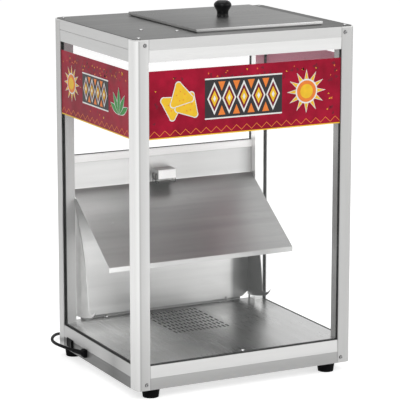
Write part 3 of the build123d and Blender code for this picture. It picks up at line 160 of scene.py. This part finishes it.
def value(tree, low, high, noise):
    """A noise turned into numbers from low to high."""
    spread = tree.nodes.new("ShaderNodeMapRange")
    spread.inputs["From Min"].default_value = NOISE_LOW
    spread.inputs["From Max"].default_value = NOISE_HIGH
    spread.inputs["To Min"].default_value = low
    spread.inputs["To Max"].default_value = high
    join(tree, noise, "Fac", spread, "Value")
    return spread


def noise_at(tree, scale, stretch=(1, 1, 1), detail=3.0):
    """A noise in the object's own space, stretched along its axes."""
    place = tree.nodes.new("ShaderNodeTexCoord")
    stretched = tree.nodes.new("ShaderNodeMapping")
    stretched.inputs["Scale"].default_value = stretch
    noise = tree.nodes.new("ShaderNodeTexNoise")
    noise.inputs["Scale"].default_value = scale
    noise.inputs["Detail"].default_value = detail
    join(tree, place, "Object", stretched, "Vector")
    join(tree, stretched, 0, noise, "Vector")
    return noise


def shades(tree, noise, dark, light):
    """A noise turned into colours between two."""
    ramp = tree.nodes.new("ShaderNodeValToRGB")
    ramp.color_ramp.elements[0].position = NOISE_LOW
    ramp.color_ramp.elements[0].color = (*dark, 1)
    ramp.color_ramp.elements[1].position = NOISE_HIGH
    ramp.color_ramp.elements[1].color = (*light, 1)
    join(tree, noise, "Fac", ramp, "Fac")
    return ramp


def place_along(tree, axis):
    """The place along one of the object's own axes, in metres."""
    place = tree.nodes.new("ShaderNodeTexCoord")
    split = tree.nodes.new("ShaderNodeSeparateXYZ")
    join(tree, place, "Object", split, 0)
    return split.outputs[axis]


def multiplied(tree, one, other):
    """The product of two colours."""
    mixed = tree.nodes.new("ShaderNodeMix")
    mixed.data_type = "RGBA"
    mixed.blend_type = "MULTIPLY"
    mixed.inputs[0].default_value = 1.0
    tree.links.new(one, mixed.inputs[MIX_FIRST])
    tree.links.new(other, mixed.inputs[MIX_SECOND])
    return mixed.outputs[MIX_RESULT]


def graded(tree, colour, axis, stops):
    """A colour made darker along one axis; each stop is a place in metres and a share of the colour."""
    along = tree.nodes.new("ShaderNodeMapRange")
    first, last = stops[0][0], stops[-1][0]
    along.inputs["From Min"].default_value = first
    along.inputs["From Max"].default_value = last
    ramp = tree.nodes.new("ShaderNodeValToRGB")
    marks = ramp.color_ramp.elements
    for spot, _ in stops[1:-1]:
        marks.new((spot - first) / (last - first))
    for mark, (spot, share) in zip(marks, stops):
        mark.position = (spot - first) / (last - first)
        mark.color = (share, share, share, 1)
    tree.links.new(place_along(tree, axis), along.inputs["Value"])
    join(tree, along, 0, ramp, 0)
    return multiplied(tree, colour, ramp.outputs[0])


def beyond(tree, colour, axis, at, side, other):
    """A colour that gives way to another on one side of a place along an axis."""
    step = tree.nodes.new("ShaderNodeMath")
    step.operation = "GREATER_THAN" if side > 0 else "LESS_THAN"
    step.inputs[1].default_value = at
    mixed = tree.nodes.new("ShaderNodeMix")
    mixed.data_type = "RGBA"
    mixed.inputs[MIX_SECOND].default_value = (*other, 1)
    tree.links.new(place_along(tree, axis), step.inputs[0])
    join(tree, step, 0, mixed, 0)
    tree.links.new(colour, mixed.inputs[MIX_FIRST])
    return mixed.outputs[MIX_RESULT]


def surface(
    name,
    color,
    rough,
    metallic=0.0,
    spread=0.06,
    scale=40.0,
    stretch=(1, 1, 1),
    bump=0.0,
    bump_scale=300.0,
    bump_stretch=(1, 1, 1),
    rough_spread=0.06,
    specular=0.5,
    tones=(),
    edge=1.0,
):
    """A procedural finish: noises vary its colour, roughness and relief, and tones grade it, mostly with
    painted shade and highlight.
    """
    made, tree = tree_of(name)
    out = tree.nodes.new("ShaderNodeOutputMaterial")
    shader = tree.nodes.new("ShaderNodeBsdfPrincipled")
    dark = tuple(c * (1 - spread) for c in color)
    light = tuple(min(1, c * (1 + spread)) for c in color)
    colour = shades(tree, noise_at(tree, scale, stretch), dark, light).outputs[0]
    for axis, stops in tones:
        colour = graded(tree, colour, axis, stops)
    tree.links.new(colour, shader.inputs["Base Color"])
    fine = noise_at(tree, bump_scale, bump_stretch, RELIEF_DETAIL)
    lines = value(tree, rough - rough_spread, rough + rough_spread, fine)
    smudges = value(tree, -rough_spread, rough_spread, noise_at(tree, SMUDGE_SCALE, detail=SMUDGE_DETAIL))
    total = tree.nodes.new("ShaderNodeMath")
    join(tree, lines, 0, total, 0)
    join(tree, smudges, 0, total, 1)
    join(tree, total, 0, shader, "Roughness")
    shader.inputs["Metallic"].default_value = metallic
    shader.inputs["Specular IOR Level"].default_value = specular
    shader.inputs["Specular Tint"].default_value = (edge, edge, edge, 1)
    if bump:
        relief = tree.nodes.new("ShaderNodeBump")
        relief.inputs["Strength"].default_value = bump
        relief.inputs["Distance"].default_value = RELIEF_DEPTH
        join(tree, fine, "Fac", relief, "Height")
        join(tree, relief, 0, shader, "Normal")
    join(tree, shader, 0, out, 0)
    return made


def brushed(name, grey, rough, along, metallic, spread, bump, tones=(), edge=1.0):
    """Brushed metal with its lines along one axis."""
    return surface(
        name,
        (grey, grey, grey * 0.99),
        rough,
        metallic=metallic,
        spread=spread,
        scale=1.0,
        stretch=tuple(2.0 if i == along else 60.0 for i in range(3)),
        bump=bump,
        bump_scale=1400.0,
        bump_stretch=tuple(0.02 if i == along else 1.0 for i in range(3)),
        rough_spread=0.05,
        tones=tones,
        edge=edge,
    )


X, Y, Z = 0, 1, 2
RAIL_END_X, RAIL_END_Y = 0.197, 0.153  # where the rails meet the posts
SEAM_SHARE, SEAM_DARK, SEAM_PLAIN = 0.4, 0.0008, 0.0012


def seams(axis, end):
    """Tones that darken the last part of a rail at both ends, where it meets a post."""
    dark, plain = end - SEAM_DARK, end - SEAM_PLAIN
    outer = ((-end, SEAM_SHARE), (-dark, SEAM_SHARE), (-plain, 1.0))
    return (axis, (*outer, (plain, 1.0), (dark, SEAM_SHARE), (end, SEAM_SHARE)))


# Each tone is an axis with its stops, places in metres and shares of the colour. Apart from the seams at the
# rail ends, these tones are painted shade and painted highlight.
# Painted shade: the upper band of the front and rear top rails is darker than the lower band.
top_front_painted_shade = (
    (Z, ((0.620, 1.0), (0.6425, 1.0), (0.643, 0.8), (0.661, 0.8))),
    seams(X, RAIL_END_X),
)
# Painted shade: the lower band of the front and rear bottom rails is much darker than the upper band.
low_front_painted_shade = (
    (Z, ((0.019, 0.55), (0.0405, 0.6), (0.041, 0.95), (0.064, 1.0))),
    seams(X, RAIL_END_X),
)
top_side_tones = (seams(Y, RAIL_END_Y),)
# Painted shade and painted reflection: the lower band of the side bottom rails is dark, and a dark patch
# partway along stands in for a reflection.
low_side_painted_shade = (
    (Z, ((0.019, 0.34), (0.0405, 0.37), (0.041, 0.97), (0.064, 1.0))),
    (Y, ((-0.16, 1.0), (-0.11, 0.9), (-0.08, 0.72), (-0.05, 0.9), (-0.02, 1.0), (0.16, 1.0))),
    seams(Y, RAIL_END_Y),
)
# Painted shade and painted reflection: a dark line just past the rounded corner, the front face darker than
# the side face, and darker towards the bottom.
front_left_painted_shade = (
    (X, ((-0.224, 1.0), (-0.2178, 0.98), (-0.2164, 0.56), (-0.2150, 0.58), (-0.2130, 0.70), (-0.197, 0.80))),
    (Z, ((0.019, 0.80), (0.08, 0.86), (0.20, 1.0), (0.661, 1.0))),
)
# Painted shade: the outer edge of the front right post is darker.
front_right_painted_shade = (
    (X, ((0.197, 0.9), (0.2, 1.0), (0.2205, 1.0), (0.2225, 0.7), (0.224, 0.7))),
)
# Painted shade: the far post's outer edges beside the glass are darkened to about half.
far_post_painted_shade = (
    (X, ((0.190, 1.0), (0.2215, 1.0), (0.2225, 0.48), (0.224, 0.48))),
    (Y, ((0.150, 1.0), (0.1775, 1.0), (0.1785, 0.5), (0.180, 0.5))),
)
# Painted shade and painted reflection: the roof darkens towards both ends, most at the right, and its edges
# below the top are dark.
roof_painted_shade = (
    (X, ((-0.2225, 0.84), (-0.08, 1.0), (0.10, 0.85), (0.2225, 0.6))),
    (Z, ((0.655, 0.3), (0.6617, 0.3), (0.6619, 1.0), (0.6677, 1.0))),
)
# Painted light and shade: a dark line at the foot of the lid's rim, a bright rim face as a painted
# highlight, a darker top, and darker towards the left.
lid_painted_light = (
    (Z, ((0.6636, 0.3), (0.6641, 0.3), (0.6645, 1.0), (0.6683, 1.0), (0.6688, 0.5), (0.669, 0.5))),
    (X, ((-0.085, 0.6), (0.02, 0.85), (0.175, 1.0))),
)
# Painted shade: the baffle darkens from the left end, and all but its front lip is darker.
baffle_painted_shade = (
    (X, ((-0.2, 0.97), (-0.09, 0.60), (0.08, 0.61), (0.2, 0.57))),
    (Y, ((-0.006, 1.0), (-0.0024, 1.0), (-0.0018, 0.64), (0.17, 0.64))),
)
# Painted light and shade: the panel darkens towards the right, has a bright line along its foot as a painted
# highlight, and is dark under the channel.
panel_painted_light = (
    (X, ((-0.2, 1.0), (0.0, 0.97), (0.165, 0.88), (0.19, 0.66), (0.2, 0.5))),
    (Z, ((0.3279, 1.0), (0.3294, 1.0), (0.3300, 0.86), (0.3784, 0.86), (0.3788, 0.3), (0.392, 0.3))),
)
# Painted reflection and shade: a dark patch across the middle of the floor, darker towards the back, and
# dark edges below its top.
floor_painted_shade = (
    (X, ((-0.21, 0.9), (-0.14, 0.78), (-0.04, 0.12), (0.0, 0.13), (0.10, 0.60), (0.16, 0.64), (0.21, 0.66))),
    (Y, ((-0.18, 1.0), (0.06, 1.0), (0.12, 0.6), (0.18, 0.52))),
    (Z, ((0.0630, 0.04), (0.06585, 0.04), (0.06595, 1.0), (0.0661, 1.0))),
)
# Painted shade: the flap darkens strongly at its right end, and its parts behind the face are darker.
flap_painted_shade = (
    (X, ((-0.19, 1.0), (-0.1, 0.86), (0.148, 0.84), (0.158, 0.32), (0.19, 0.26))),
    (Y, ((0.08, 1.0), (0.1692, 1.0), (0.1696, 0.7), (0.18, 0.7))),
)
# Painted shade: the lamp housing's left side and top are dark, while its front stays white.
lamp_painted_shade = (
    (X, ((-0.03, 0.35), (-0.0238, 0.35), (-0.0234, 1.0), (0.03, 1.0))),
    (Z, ((0.33, 1.0), (0.3546, 1.0), (0.3549, 0.35), (0.356, 0.35))),
)
# Painted shade: a dark band round the foot and in the recess of each floor and roof screw head.
floor_screw_shade_stops = ((0.0, 1.0), (0.0650, 1.0), (0.0655, 0.2), (0.0678, 0.2), (0.0679, 1.0))
roof_screw_shade_stops = ((0.64, 1.0), (0.6615, 0.2), (0.6638, 0.2), (0.6639, 1.0), (0.67, 1.0))
screw_painted_shade = ((Z, floor_screw_shade_stops + roof_screw_shade_stops),)
# Painted shade: a dark ring and a dark recess on the heads of the post screws.
post_screw_painted_shade = (
    (Y, ((-0.183, 1.0), (-0.18185, 1.0), (-0.1817, 0.12), (-0.1795, 0.2), (-0.1790, 1.0), (0.18, 1.0))),
)

# Grey, roughness, the axis of the lines, metallic, the spread of the grey, relief, tones and edge.
metals = {
    "aluminium_post": (0.62, 0.42, Z, 0.6, 0.03, 0.05),
    # Painted light and shade: the left and far posts are lit copies and the right and rear posts shaded
    # copies of one aluminium.
    "lit_left_aluminium_post": (0.76, 0.42, Z, 0.6, 0.03, 0.05, front_left_painted_shade),
    "shaded_right_aluminium_post": (0.47, 0.42, Z, 0.6, 0.03, 0.05, front_right_painted_shade),
    "lit_far_aluminium_post": (0.97, 0.40, Z, 0.9, 0.02, 0.05, far_post_painted_shade),
    "shaded_rear_aluminium_post": (0.49, 0.42, Z, 0.6, 0.03, 0.05),
    "aluminium_top_front": (0.68, 0.42, X, 0.6, 0.03, 0.05, top_front_painted_shade),
    # Painted shade: the side top rails are a shaded copy of the front rails' aluminium.
    "shaded_side_top_aluminium": (0.56, 0.42, Y, 0.6, 0.03, 0.05, top_side_tones),
    "aluminium_low_front": (0.64, 0.42, X, 0.6, 0.03, 0.05, low_front_painted_shade),
    # Painted shade: the side bottom rails are a shaded copy of the front rails' aluminium.
    "shaded_side_low_aluminium": (0.46, 0.42, Y, 0.6, 0.03, 0.05, low_side_painted_shade),
    # Painted light: the rear channel is a lit copy of the rails' aluminium.
    "lit_aluminium_rear_channel": (0.93, 0.40, X, 0.6, 0.03, 0.05),
    # Painted shade: the roof's low grey stands in for the dark reflection on its steel.
    "steel_shaded_roof": (0.38, 0.36, X, 1.0, 0.06, 0.10, roof_painted_shade, 0.41),
    "steel_lid": (0.80, 0.32, X, 1.0, 0.06, 0.10, lid_painted_light, 0.5),
    "steel_inside": (0.90, 0.36, X, 1.0, 0.08, 0.14, baffle_painted_shade),
    "steel_panel": (0.78, 0.36, X, 1.0, 0.06, 0.12, panel_painted_light),
    "steel_floor": (0.96, 0.30, Y, 1.0, 0.07, 0.12, floor_painted_shade, 0.86),
    "steel_flap": (0.87, 0.36, X, 1.0, 0.07, 0.12, flap_painted_shade),
    "steel_back": (0.55, 0.38, X, 1.0, 0.05, 0.10),
    "steel_base": (0.40, 0.42, X, 1.0, 0.08, 0.10),
    # Painted shade: the heater tray and its brackets are nearly black, so what shows of them through the
    # slots reads as shade.
    "painted_shade_tray": (0.02, 0.55, X, 0.6, 0.12, 0.10),
}
finishes = {name: brushed(name, *look) for name, look in metals.items()}

# Grey and tones of the bright small parts.
bright_parts = {
    "bright_fixings": (0.46, ()),
    "screws": (0.66, screw_painted_shade),
    "post_screws": (0.85, post_screw_painted_shade),
}
for name, (grey, tones) in bright_parts.items():
    color = (grey, grey, grey)
    finishes[name] = surface(name, color, 0.28, metallic=1.0, spread=0.12, scale=900.0, tones=tones)

# Colour, roughness, the spread and scale of the colour, relief and its scale, and specular level.
black_parts = {
    "rubber": ((0.0045, 0.0045, 0.005), 0.75, 0.2, 220.0, 0.15, 2500.0, 0.05),
    "gasket": ((0.05, 0.05, 0.05), 0.65, 0.15, 150.0, 0.1, 1800.0, 0.1),
    "cord": ((0.0035, 0.0035, 0.004), 0.62, 0.15, 300.0, 0.08, 3000.0, 0.06),
    "black_plastic": ((0.006, 0.006, 0.0065), 0.5, 0.15, 120.0, 0.06, 4000.0, 0.07),
}
for name, (color, rough, spread, scale, bump, bump_scale, specular) in black_parts.items():
    finishes[name] = surface(
        name, color, rough, spread=spread, scale=scale, bump=bump, bump_scale=bump_scale, specular=specular
    )

finishes["dark_wire"] = surface(
    "dark_wire", (0.03, 0.03, 0.03), 0.5, metallic=0.2, spread=0.2, scale=400.0, bump=0.1, specular=0.1
)
finishes["dark_element"] = surface(
    "dark_element", (0.02, 0.019, 0.018), 0.55, metallic=0.4, spread=0.2, scale=200.0, bump=0.1
)
finishes["knob"] = surface(
    "knob", (0.003, 0.003, 0.0035), 0.2, spread=0.15, scale=80.0, rough_spread=0.03, specular=0.14
)
finishes["white_enamel"] = surface(
    "white_enamel",
    (0.95, 0.95, 0.94),
    0.35,
    metallic=0.7,
    spread=0.02,
    scale=60.0,
    rough_spread=0.04,
    specular=0.3,
    tones=lamp_painted_shade,
)
finishes["ceramic"] = surface(
    "ceramic", (0.70, 0.68, 0.63), 0.4, spread=0.05, scale=300.0, bump=0.05, bump_scale=1500.0
)
finishes["brass"] = surface("brass", (0.72, 0.58, 0.30), 0.28, metallic=1.0, scale=400.0)


def pane(name, tint, opacity, rough=0.03):
    """Clear glass that lets the light through."""
    made, tree = tree_of(name)
    out = tree.nodes.new("ShaderNodeOutputMaterial")
    shader = tree.nodes.new("ShaderNodeBsdfPrincipled")
    haze = noise_at(tree, SMUDGE_SCALE)
    join(tree, shades(tree, haze, tuple(c * 0.97 for c in tint), tint), 0, shader, "Base Color")
    join(tree, value(tree, rough * 0.7, rough * 1.5, haze), 0, shader, "Roughness")
    shader.inputs["Alpha"].default_value = opacity
    shader.inputs["IOR"].default_value = 1.5
    join(tree, shader, 0, out, 0)
    return made


finishes["glass"] = pane("glass", (0.90, 0.93, 0.92), 0.03)
finishes["lamp_glass"] = pane("lamp_glass", (0.50, 0.49, 0.46), 0.12, 0.12)

CRIMSON_DARK, CRIMSON_LIGHT = (0.25, 0.005, 0.021), (0.43, 0.009, 0.038)
MOTTLE_DARK, MOTTLE_LIGHT = (0.82, 0.82, 0.82), (1.0, 1.0, 1.0)
FILM_INSIDE = (1.0, 0.33, 0.47)


def printed(name, axis, middle, inner):
    """Crimson print with a mottled ground of two scales, and paler on the film's inner side."""
    made, tree = tree_of(name)
    out = tree.nodes.new("ShaderNodeOutputMaterial")
    shader = tree.nodes.new("ShaderNodeBsdfPrincipled")
    broad = shades(tree, noise_at(tree, 16.0, detail=5.0), CRIMSON_DARK, CRIMSON_LIGHT)
    fine = shades(tree, noise_at(tree, 70.0), MOTTLE_DARK, MOTTLE_LIGHT)
    mottled = multiplied(tree, broad.outputs[0], fine.outputs[0])
    both = beyond(tree, mottled, axis, middle, inner, FILM_INSIDE)
    tree.links.new(both, shader.inputs["Base Color"])
    join(tree, value(tree, 0.30, 0.42, noise_at(tree, 40.0)), 0, shader, "Roughness")
    shader.inputs["Specular IOR Level"].default_value = 0.1
    join(tree, shader, 0, out, 0)
    return made


# For each banner, the axis through its film and the side of the film that faces the cabin.
film_faces = {"front": (Y, 1), "left": (X, 1), "right": (X, -1)}
for face, (axis, inner) in film_faces.items():
    low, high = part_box(f"banner_{face}")
    middle = (low[axis] + high[axis]) / 2
    finishes[f"banner_{face}"] = printed(f"banner_{face}", axis, middle, inner)


def ink(name, color):
    """A printed ink with a slight unevenness."""
    return surface(name, color, 0.4, scale=90.0, rough_spread=0.05, specular=0.2)


ink_colors = {
    "white": (0.80, 0.80, 0.78),
    "charcoal": (0.030, 0.028, 0.030),
    "yellow": (0.85, 0.52, 0.03),
    "orange": (0.80, 0.22, 0.04),
    "green": (0.035, 0.26, 0.045),
    "wine": (0.17, 0.008, 0.022),
}
inks = {name: ink(f"ink_{name}", color) for name, color in ink_colors.items()}


def dress(finish, *names):
    """Give pieces of the frame a finish."""
    for name in names:
        mesh = nodes[name].data
        mesh.materials.clear()
        mesh.materials.append(finishes[finish])


dress("aluminium_post", "post_caps")
dress("lit_left_aluminium_post", "post_front_left")
dress("shaded_right_aluminium_post", "post_front_right")
dress("shaded_rear_aluminium_post", "post_rear_left")
dress("lit_far_aluminium_post", "post_rear_right")
dress("aluminium_top_front", "top_rail_front", "top_rail_rear")
dress("lit_aluminium_rear_channel", "rear_channel")
dress("shaded_side_top_aluminium", "top_rail_left", "top_rail_right")
dress("aluminium_low_front", "bottom_rail_front", "bottom_rail_rear")
dress("shaded_side_low_aluminium", "bottom_rail_left", "bottom_rail_right")
dress("steel_shaded_roof", "top_panel")
dress("steel_lid", "lid")
dress("steel_inside", "baffle")
dress("steel_panel", "rear_panel")
dress("steel_floor", "floor_plate")
dress("steel_flap", "rear_flap")
dress("steel_back", "rear_cover", "hinge_leaf_fixed", "hinge_leaf_flap")
dress("steel_base", "base_pan", "corner_brackets", "top_stiffener")
dress("painted_shade_tray", "heater_tray", "heater_brackets")
dress("bright_fixings", "lid_knob_screw", "hinge_rivets", "flap_rivets", "hinge_pin")
dress("screws", "short_screws")
dress("post_screws", "post_screws")
dress("dark_wire", "lamp_clips")
dress("dark_element", "heater_element", "thermostat")
dress("rubber", "feet")
dress("gasket", "glazing_gaskets")
dress("cord", "cord_gland", "power_plug", "inner_leads")
dress("knob", "lid_knob")
dress("black_plastic", "switch_body", "switch_rocker", "terminal_block")
dress("white_enamel", "lamp_housing")
dress("ceramic", "lamp_socket")
dress("brass", "plug_pins")
dress("glass", "glass_front", "glass_left", "glass_right", "glass_rear")
dress("lamp_glass", "lamp_cover", "lamp_bulb")
for face in film_faces:
    dress(f"banner_{face}", f"banner_{face}")

# ---------------------------------------------------------------- mains cord

cord_radius = 0.003
sleeve_length, straight_length = 0.031, 0.011
sleeve_root = Vector((-0.229, 0.048, 0.0345))
sleeve_way = Vector((-0.287, 0.958, 0)).normalized()
exit_point = sleeve_root + sleeve_way * sleeve_length
route = [exit_point, exit_point + sleeve_way * straight_length]
# Round the rear corner and down to the surface, in millimetres.
route += [
    Vector(p) / 1000
    for p in (
        (-243.4, 107.0, 33.8),
        (-244.4, 131.0, 32.0),
        (-242.0, 157.0, 29.2),
        (-234.5, 188.0, 25.6),
        (-220.5, 220.0, 21.6),
        (-205.5, 246.0, 17.4),
        (-190.0, 270.0, 12.4),
        (-174.0, 290.0, 6.6),
        (-152.0, 301.0, 3.0),
        (-126.0, 302.0, 3.0),
    )
]
# A flat coil of half turns, inwards in the lower layer and outwards again in the upper one.
coil_x, coil_y = -0.092, 0.262
lower_layer, upper_layer, lower_ends = 0.003, 0.0096, 5
half_turn_points = 8
short_lead, long_lead = 0.006, 0.022
plug_reach, plug_height = 0.078, 0.0175
radii = [0.040, 0.036, 0.032, 0.028, 0.024, 0.024, 0.028, 0.032, 0.036, 0.040, 0.044]
turn_ends = [
    Vector((coil_x, coil_y + (r if i % 2 == 0 else -r), lower_layer if i < lower_ends else upper_layer))
    for i, r in enumerate(radii)
]
route.append(Vector((coil_x - short_lead, coil_y + radii[0], lower_layer)))
for i, (a, b) in enumerate(zip(turn_ends, turn_ends[1:])):
    centre, spoke = (a + b) / 2, (a - b) / 2
    sideways = Vector((1 if i % 2 == 0 else -1, 0, 0)) * spoke.length
    for k in range(half_turn_points):
        turn = math.pi * (k + 0.5) / half_turn_points
        route.append(centre + spoke * math.cos(turn) + sideways * math.sin(turn))
coil_end = turn_ends[-1]
plug_start = Vector((coil_end.x + plug_reach, coil_end.y, plug_height))
route += [
    coil_end + Vector((short_lead, 0, 0)),
    coil_end + Vector((long_lead, 0, 0)),
    plug_start - Vector((long_lead, 0, 0)),
    plug_start,
]
curve = bpy.data.curves.new("mains_cord", "CURVE")
curve.dimensions = "3D"
curve.bevel_depth = cord_radius
curve.bevel_resolution = 5
curve.resolution_u = 6
line = curve.splines.new("NURBS")
line.points.add(len(route) - 1)
for spot, point in zip(line.points, route):
    spot.co = (*point, 1)
line.order_u = 3
line.use_endpoint_u = True
curve.materials.append(finishes["cord"])
mains_cord = placed("mains_cord", curve)
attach(mains_cord, "cabinet")
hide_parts("power_cord", "cord_coil")

# ---------------------------------------------------------------- print on the banners

front_low, front_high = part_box("banner_front")
left_low, left_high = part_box("banner_left")
_, right_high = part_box("banner_right")
film_bottom, film_top = front_low[2], front_high[2]
film_middle = (film_bottom + film_top) / 2
ink_lift = 0.0002

# Each face turns a place along the banner and a lift off it into a place in the frame.
faces = {
    "front": lambda u, lift: (u, front_low[1] - lift),
    "left": lambda u, lift: (left_low[0] - lift, -u),
    "right": lambda u, lift: (right_high[0] + lift, u),
}


def decal(name, colour, shapes, face, level):
    """Flat convex shapes, lists of (along, up) points in metres, printed on one banner's face."""
    shape_mesh = bpy.data.meshes.new(name)
    bm = bmesh.new()
    for shape in shapes:
        corners = [bm.verts.new((*faces[face](u, ink_lift * level), v)) for u, v in shape]
        bm.faces.new(corners)
    bmesh.ops.recalc_face_normals(bm, faces=bm.faces[:])
    bm.to_mesh(shape_mesh)
    bm.free()
    piece = placed(name, shape_mesh)
    shape_mesh.materials.append(inks[colour])
    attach(piece, "cabinet")


def disc(cu, cv, radius, sides=32):
    steps = [2 * math.pi * i / sides for i in range(sides)]
    return [(cu + radius * math.cos(a), cv + radius * math.sin(a)) for a in steps]


def diamond(cu, cv, half_width, half_height):
    return [(cu + half_width, cv), (cu, cv + half_height), (cu - half_width, cv), (cu, cv - half_height)]


def bar(u0, u1, v0, v1):
    return [(u0, v0), (u1, v0), (u1, v1), (u0, v1)]


def chip(cu, cv, size, turn):
    """A tortilla chip: a triangle with rounded corners and bowed sides."""
    reach, rounding, step = 0.78, 0.24, 0.36
    points = []
    for corner in range(3):
        a = turn + 2 * math.pi * corner / 3
        for k in range(-4, 5):
            b = a + k * step
            u = reach * math.cos(a) + rounding * math.cos(b)
            v = reach * math.sin(a) + rounding * math.sin(b)
            points.append((cu + size * u, cv + size * v))
    return points


def leaf(cu, cv, length, width, turn):
    """A pointed leaf."""
    steps = 14
    upper = [(length * i / steps, width * math.sin(math.pi * i / steps)) for i in range(steps + 1)]
    lower = [(u, -v) for u, v in reversed(upper[1:-1])]
    c, s = math.cos(turn), math.sin(turn)
    return [(cu + u * c - v * s, cv + u * s + v * c) for u, v in upper + lower]


def ray(cu, cv, near, far, half_angle, turn):
    """A long triangle that points away from a centre."""
    left, right = turn + half_angle, turn - half_angle
    return [
        (cu + near * math.cos(right), cv + near * math.sin(right)),
        (cu + far * math.cos(turn), cv + far * math.sin(turn)),
        (cu + near * math.cos(left), cv + near * math.sin(left)),
    ]


def grown(shape, by):
    """The same closed shape, larger all round."""
    n = len(shape)
    middle = Vector((sum(u for u, _ in shape) / n, sum(v for _, v in shape) / n))
    moved = []
    for u, v in shape:
        spoke = Vector((u, v)) - middle
        moved.append(tuple(middle + spoke * (1 + by / spoke.length)))
    return moved


def frieze(face, cu, cv, count, pitch, tall):
    """A row of nested diamonds between two bars, with teeth in the gaps."""
    spots = [cu + (i - (count - 1) / 2) * pitch for i in range(count)]
    gaps = [(a + b) / 2 for a, b in zip(spots, spots[1:])]
    end = pitch * count / 2 + 0.004
    edge = tall * 1.16
    half_rail = 0.0013
    decal(f"{face}_frieze_back", "charcoal", [bar(cu - end, cu + end, cv - edge, cv + edge)], face, 1)
    middles = [cv + side * edge for side in (-1, 1)]
    rails = [bar(cu - end, cu + end, middle - half_rail, middle + half_rail) for middle in middles]
    decal(f"{face}_frieze_rails", "white", rails, face, 2)
    tips = []
    for gap in gaps:
        for side in (-1, 1):
            base, tip = cv + side * tall * 0.98, cv + side * tall * 0.42
            tips.append([(gap - pitch * 0.24, base), (gap + pitch * 0.24, base), (gap, tip)])
    decal(f"{face}_frieze_teeth", "orange", tips, face, 2)
    nested = (("white", 1.0), ("wine", 0.78), ("yellow", 0.5), ("white", 0.2))
    for level, (colour, share) in enumerate(nested):
        shapes = [diamond(spot, cv, pitch * 0.48 * share, tall * 0.96 * share) for spot in spots]
        decal(f"{face}_frieze_{level}", colour, shapes, face, 3 + level)


def chips(face, cu, cv, size):
    """Three tortilla chips that lap over each other."""
    rim, speck, ring = 0.0022, 0.0012, 0.34
    for k, (u, v, turn) in enumerate(((-0.62, -0.26, 0.5), (0.6, -0.34, 1.25), (0.02, 0.42, 1.8))):
        shape = chip(cu + u * size, cv + v * size, size, turn)
        decal(f"{face}_chip_{k}_rim", "white", [grown(shape, rim)], face, 1 + 2 * k)
        decal(f"{face}_chip_{k}", "yellow", [shape], face, 2 + 2 * k)
        specks = [
            disc(cu + (u + ring * math.cos(q)) * size, cv + (v + ring * math.sin(q)) * size, speck, 10)
            for q in (0.4, 1.7, 2.9, 4.4, 5.3)
        ]
        decal(f"{face}_chip_{k}_specks", "orange", specks, face, 2.6 + 2 * k)


def sun(face, cu, cv, size):
    """A disc with twelve rays."""
    turns = [2 * math.pi * i / 12 for i in range(12)]
    decal(f"{face}_sun_rim", "white", [ray(cu, cv, size * 0.5, size * 1.1, 0.3, a) for a in turns], face, 1)
    decal(f"{face}_sun_rays", "yellow", [ray(cu, cv, size * 0.5, size, 0.24, a) for a in turns], face, 2)
    for level, (colour, share) in enumerate((("white", 0.62), ("orange", 0.54), ("yellow", 0.36))):
        decal(f"{face}_sun_{level}", colour, [disc(cu, cv, size * share)], face, 3 + level)


def agave(face, cu, cv, size):
    """Five pointed leaves from one root."""
    turns = (0.45, 2.69, 1.0, 2.14, 1.57)
    for k, turn in enumerate(turns):
        blade = leaf(cu, cv - size * 0.6, size * (1.1 + 0.12 * (k // 2)), size * 0.15, turn)
        decal(f"{face}_leaf_{k}_rim", "white", [grown(blade, 0.0016)], face, 1 + k)
        decal(f"{face}_leaf_{k}", "green", [blade], face, 1.5 + k)


def ground_print(face, half, seed, clear):
    """The edge stripe, the zigzag and the scattered flakes of one banner."""
    shade = random.Random(seed)
    stripe, margin, wine_size = 0.0022, 0.008, 1.8
    decal(f"{face}_edge", "yellow", [bar(-half, half, film_bottom, film_bottom + stripe)], face, 1)
    teeth = round(2 * half / 0.021)
    pitch = 2 * half / teeth
    low, high, thick = film_bottom + 0.0042, film_bottom + 0.0136, 0.0014
    zigzag = []
    for i in range(2 * teeth):
        u0, u1 = -half + i * pitch / 2, -half + (i + 1) * pitch / 2
        v0, v1 = (low, high) if i % 2 == 0 else (high, low)
        zigzag.append([(u0, v0), (u1, v1), (u1, v1 + thick), (u0, v0 + thick)])
    decal(f"{face}_zigzag", "orange", zigzag, face, 1)
    flakes = {"orange": [], "yellow": [], "wine": []}
    for _ in range(300):
        u = shade.uniform(-half + margin, half - margin)
        v = shade.uniform(film_bottom + 0.021, film_top - margin)
        kind = shade.choice(("orange", "yellow", "wine", "wine", "wine"))
        size = shade.uniform(0.0016, 0.0030) * (1.0 if kind != "wine" else wine_size)
        a = shade.uniform(0, 2 * math.pi)
        if all(abs(u - cu) > reach or abs(v - film_middle) > tall for cu, reach, tall in clear):
            corners = [(u + size * math.cos(a + b), v + size * math.sin(a + b)) for b in (0, 1.7, 3.4)]
            flakes[kind].append(corners)
    for colour, shapes in flakes.items():
        decal(f"{face}_flakes_{colour}", colour, shapes, face, 0.6)


# No flakes fall round these places along the banner; each has its reach along and up or down.
front_clear = ((-0.134, 0.048, 0.042), (-0.006, 0.082, 0.040), (0.124, 0.044, 0.044))
side_clear = ((-0.104, 0.040, 0.040), (0.004, 0.062, 0.032), (0.108, 0.036, 0.040))

ground_print("front", front_high[0], 11, front_clear)
chips("front", -0.134, film_middle + 0.003, 0.025)
frieze("front", -0.006, film_middle + 0.004, 5, 0.030, 0.031)
sun("front", 0.124, film_middle + 0.004, 0.037)
for seed, face in ((23, "left"), (37, "right")):
    ground_print(face, left_high[1], seed, side_clear)
    sun(face, -0.104, film_middle + 0.003, 0.032)
    frieze(face, 0.004, film_middle + 0.003, 4, 0.027, 0.024)
    agave(face, 0.108, film_middle - 0.002, 0.036)
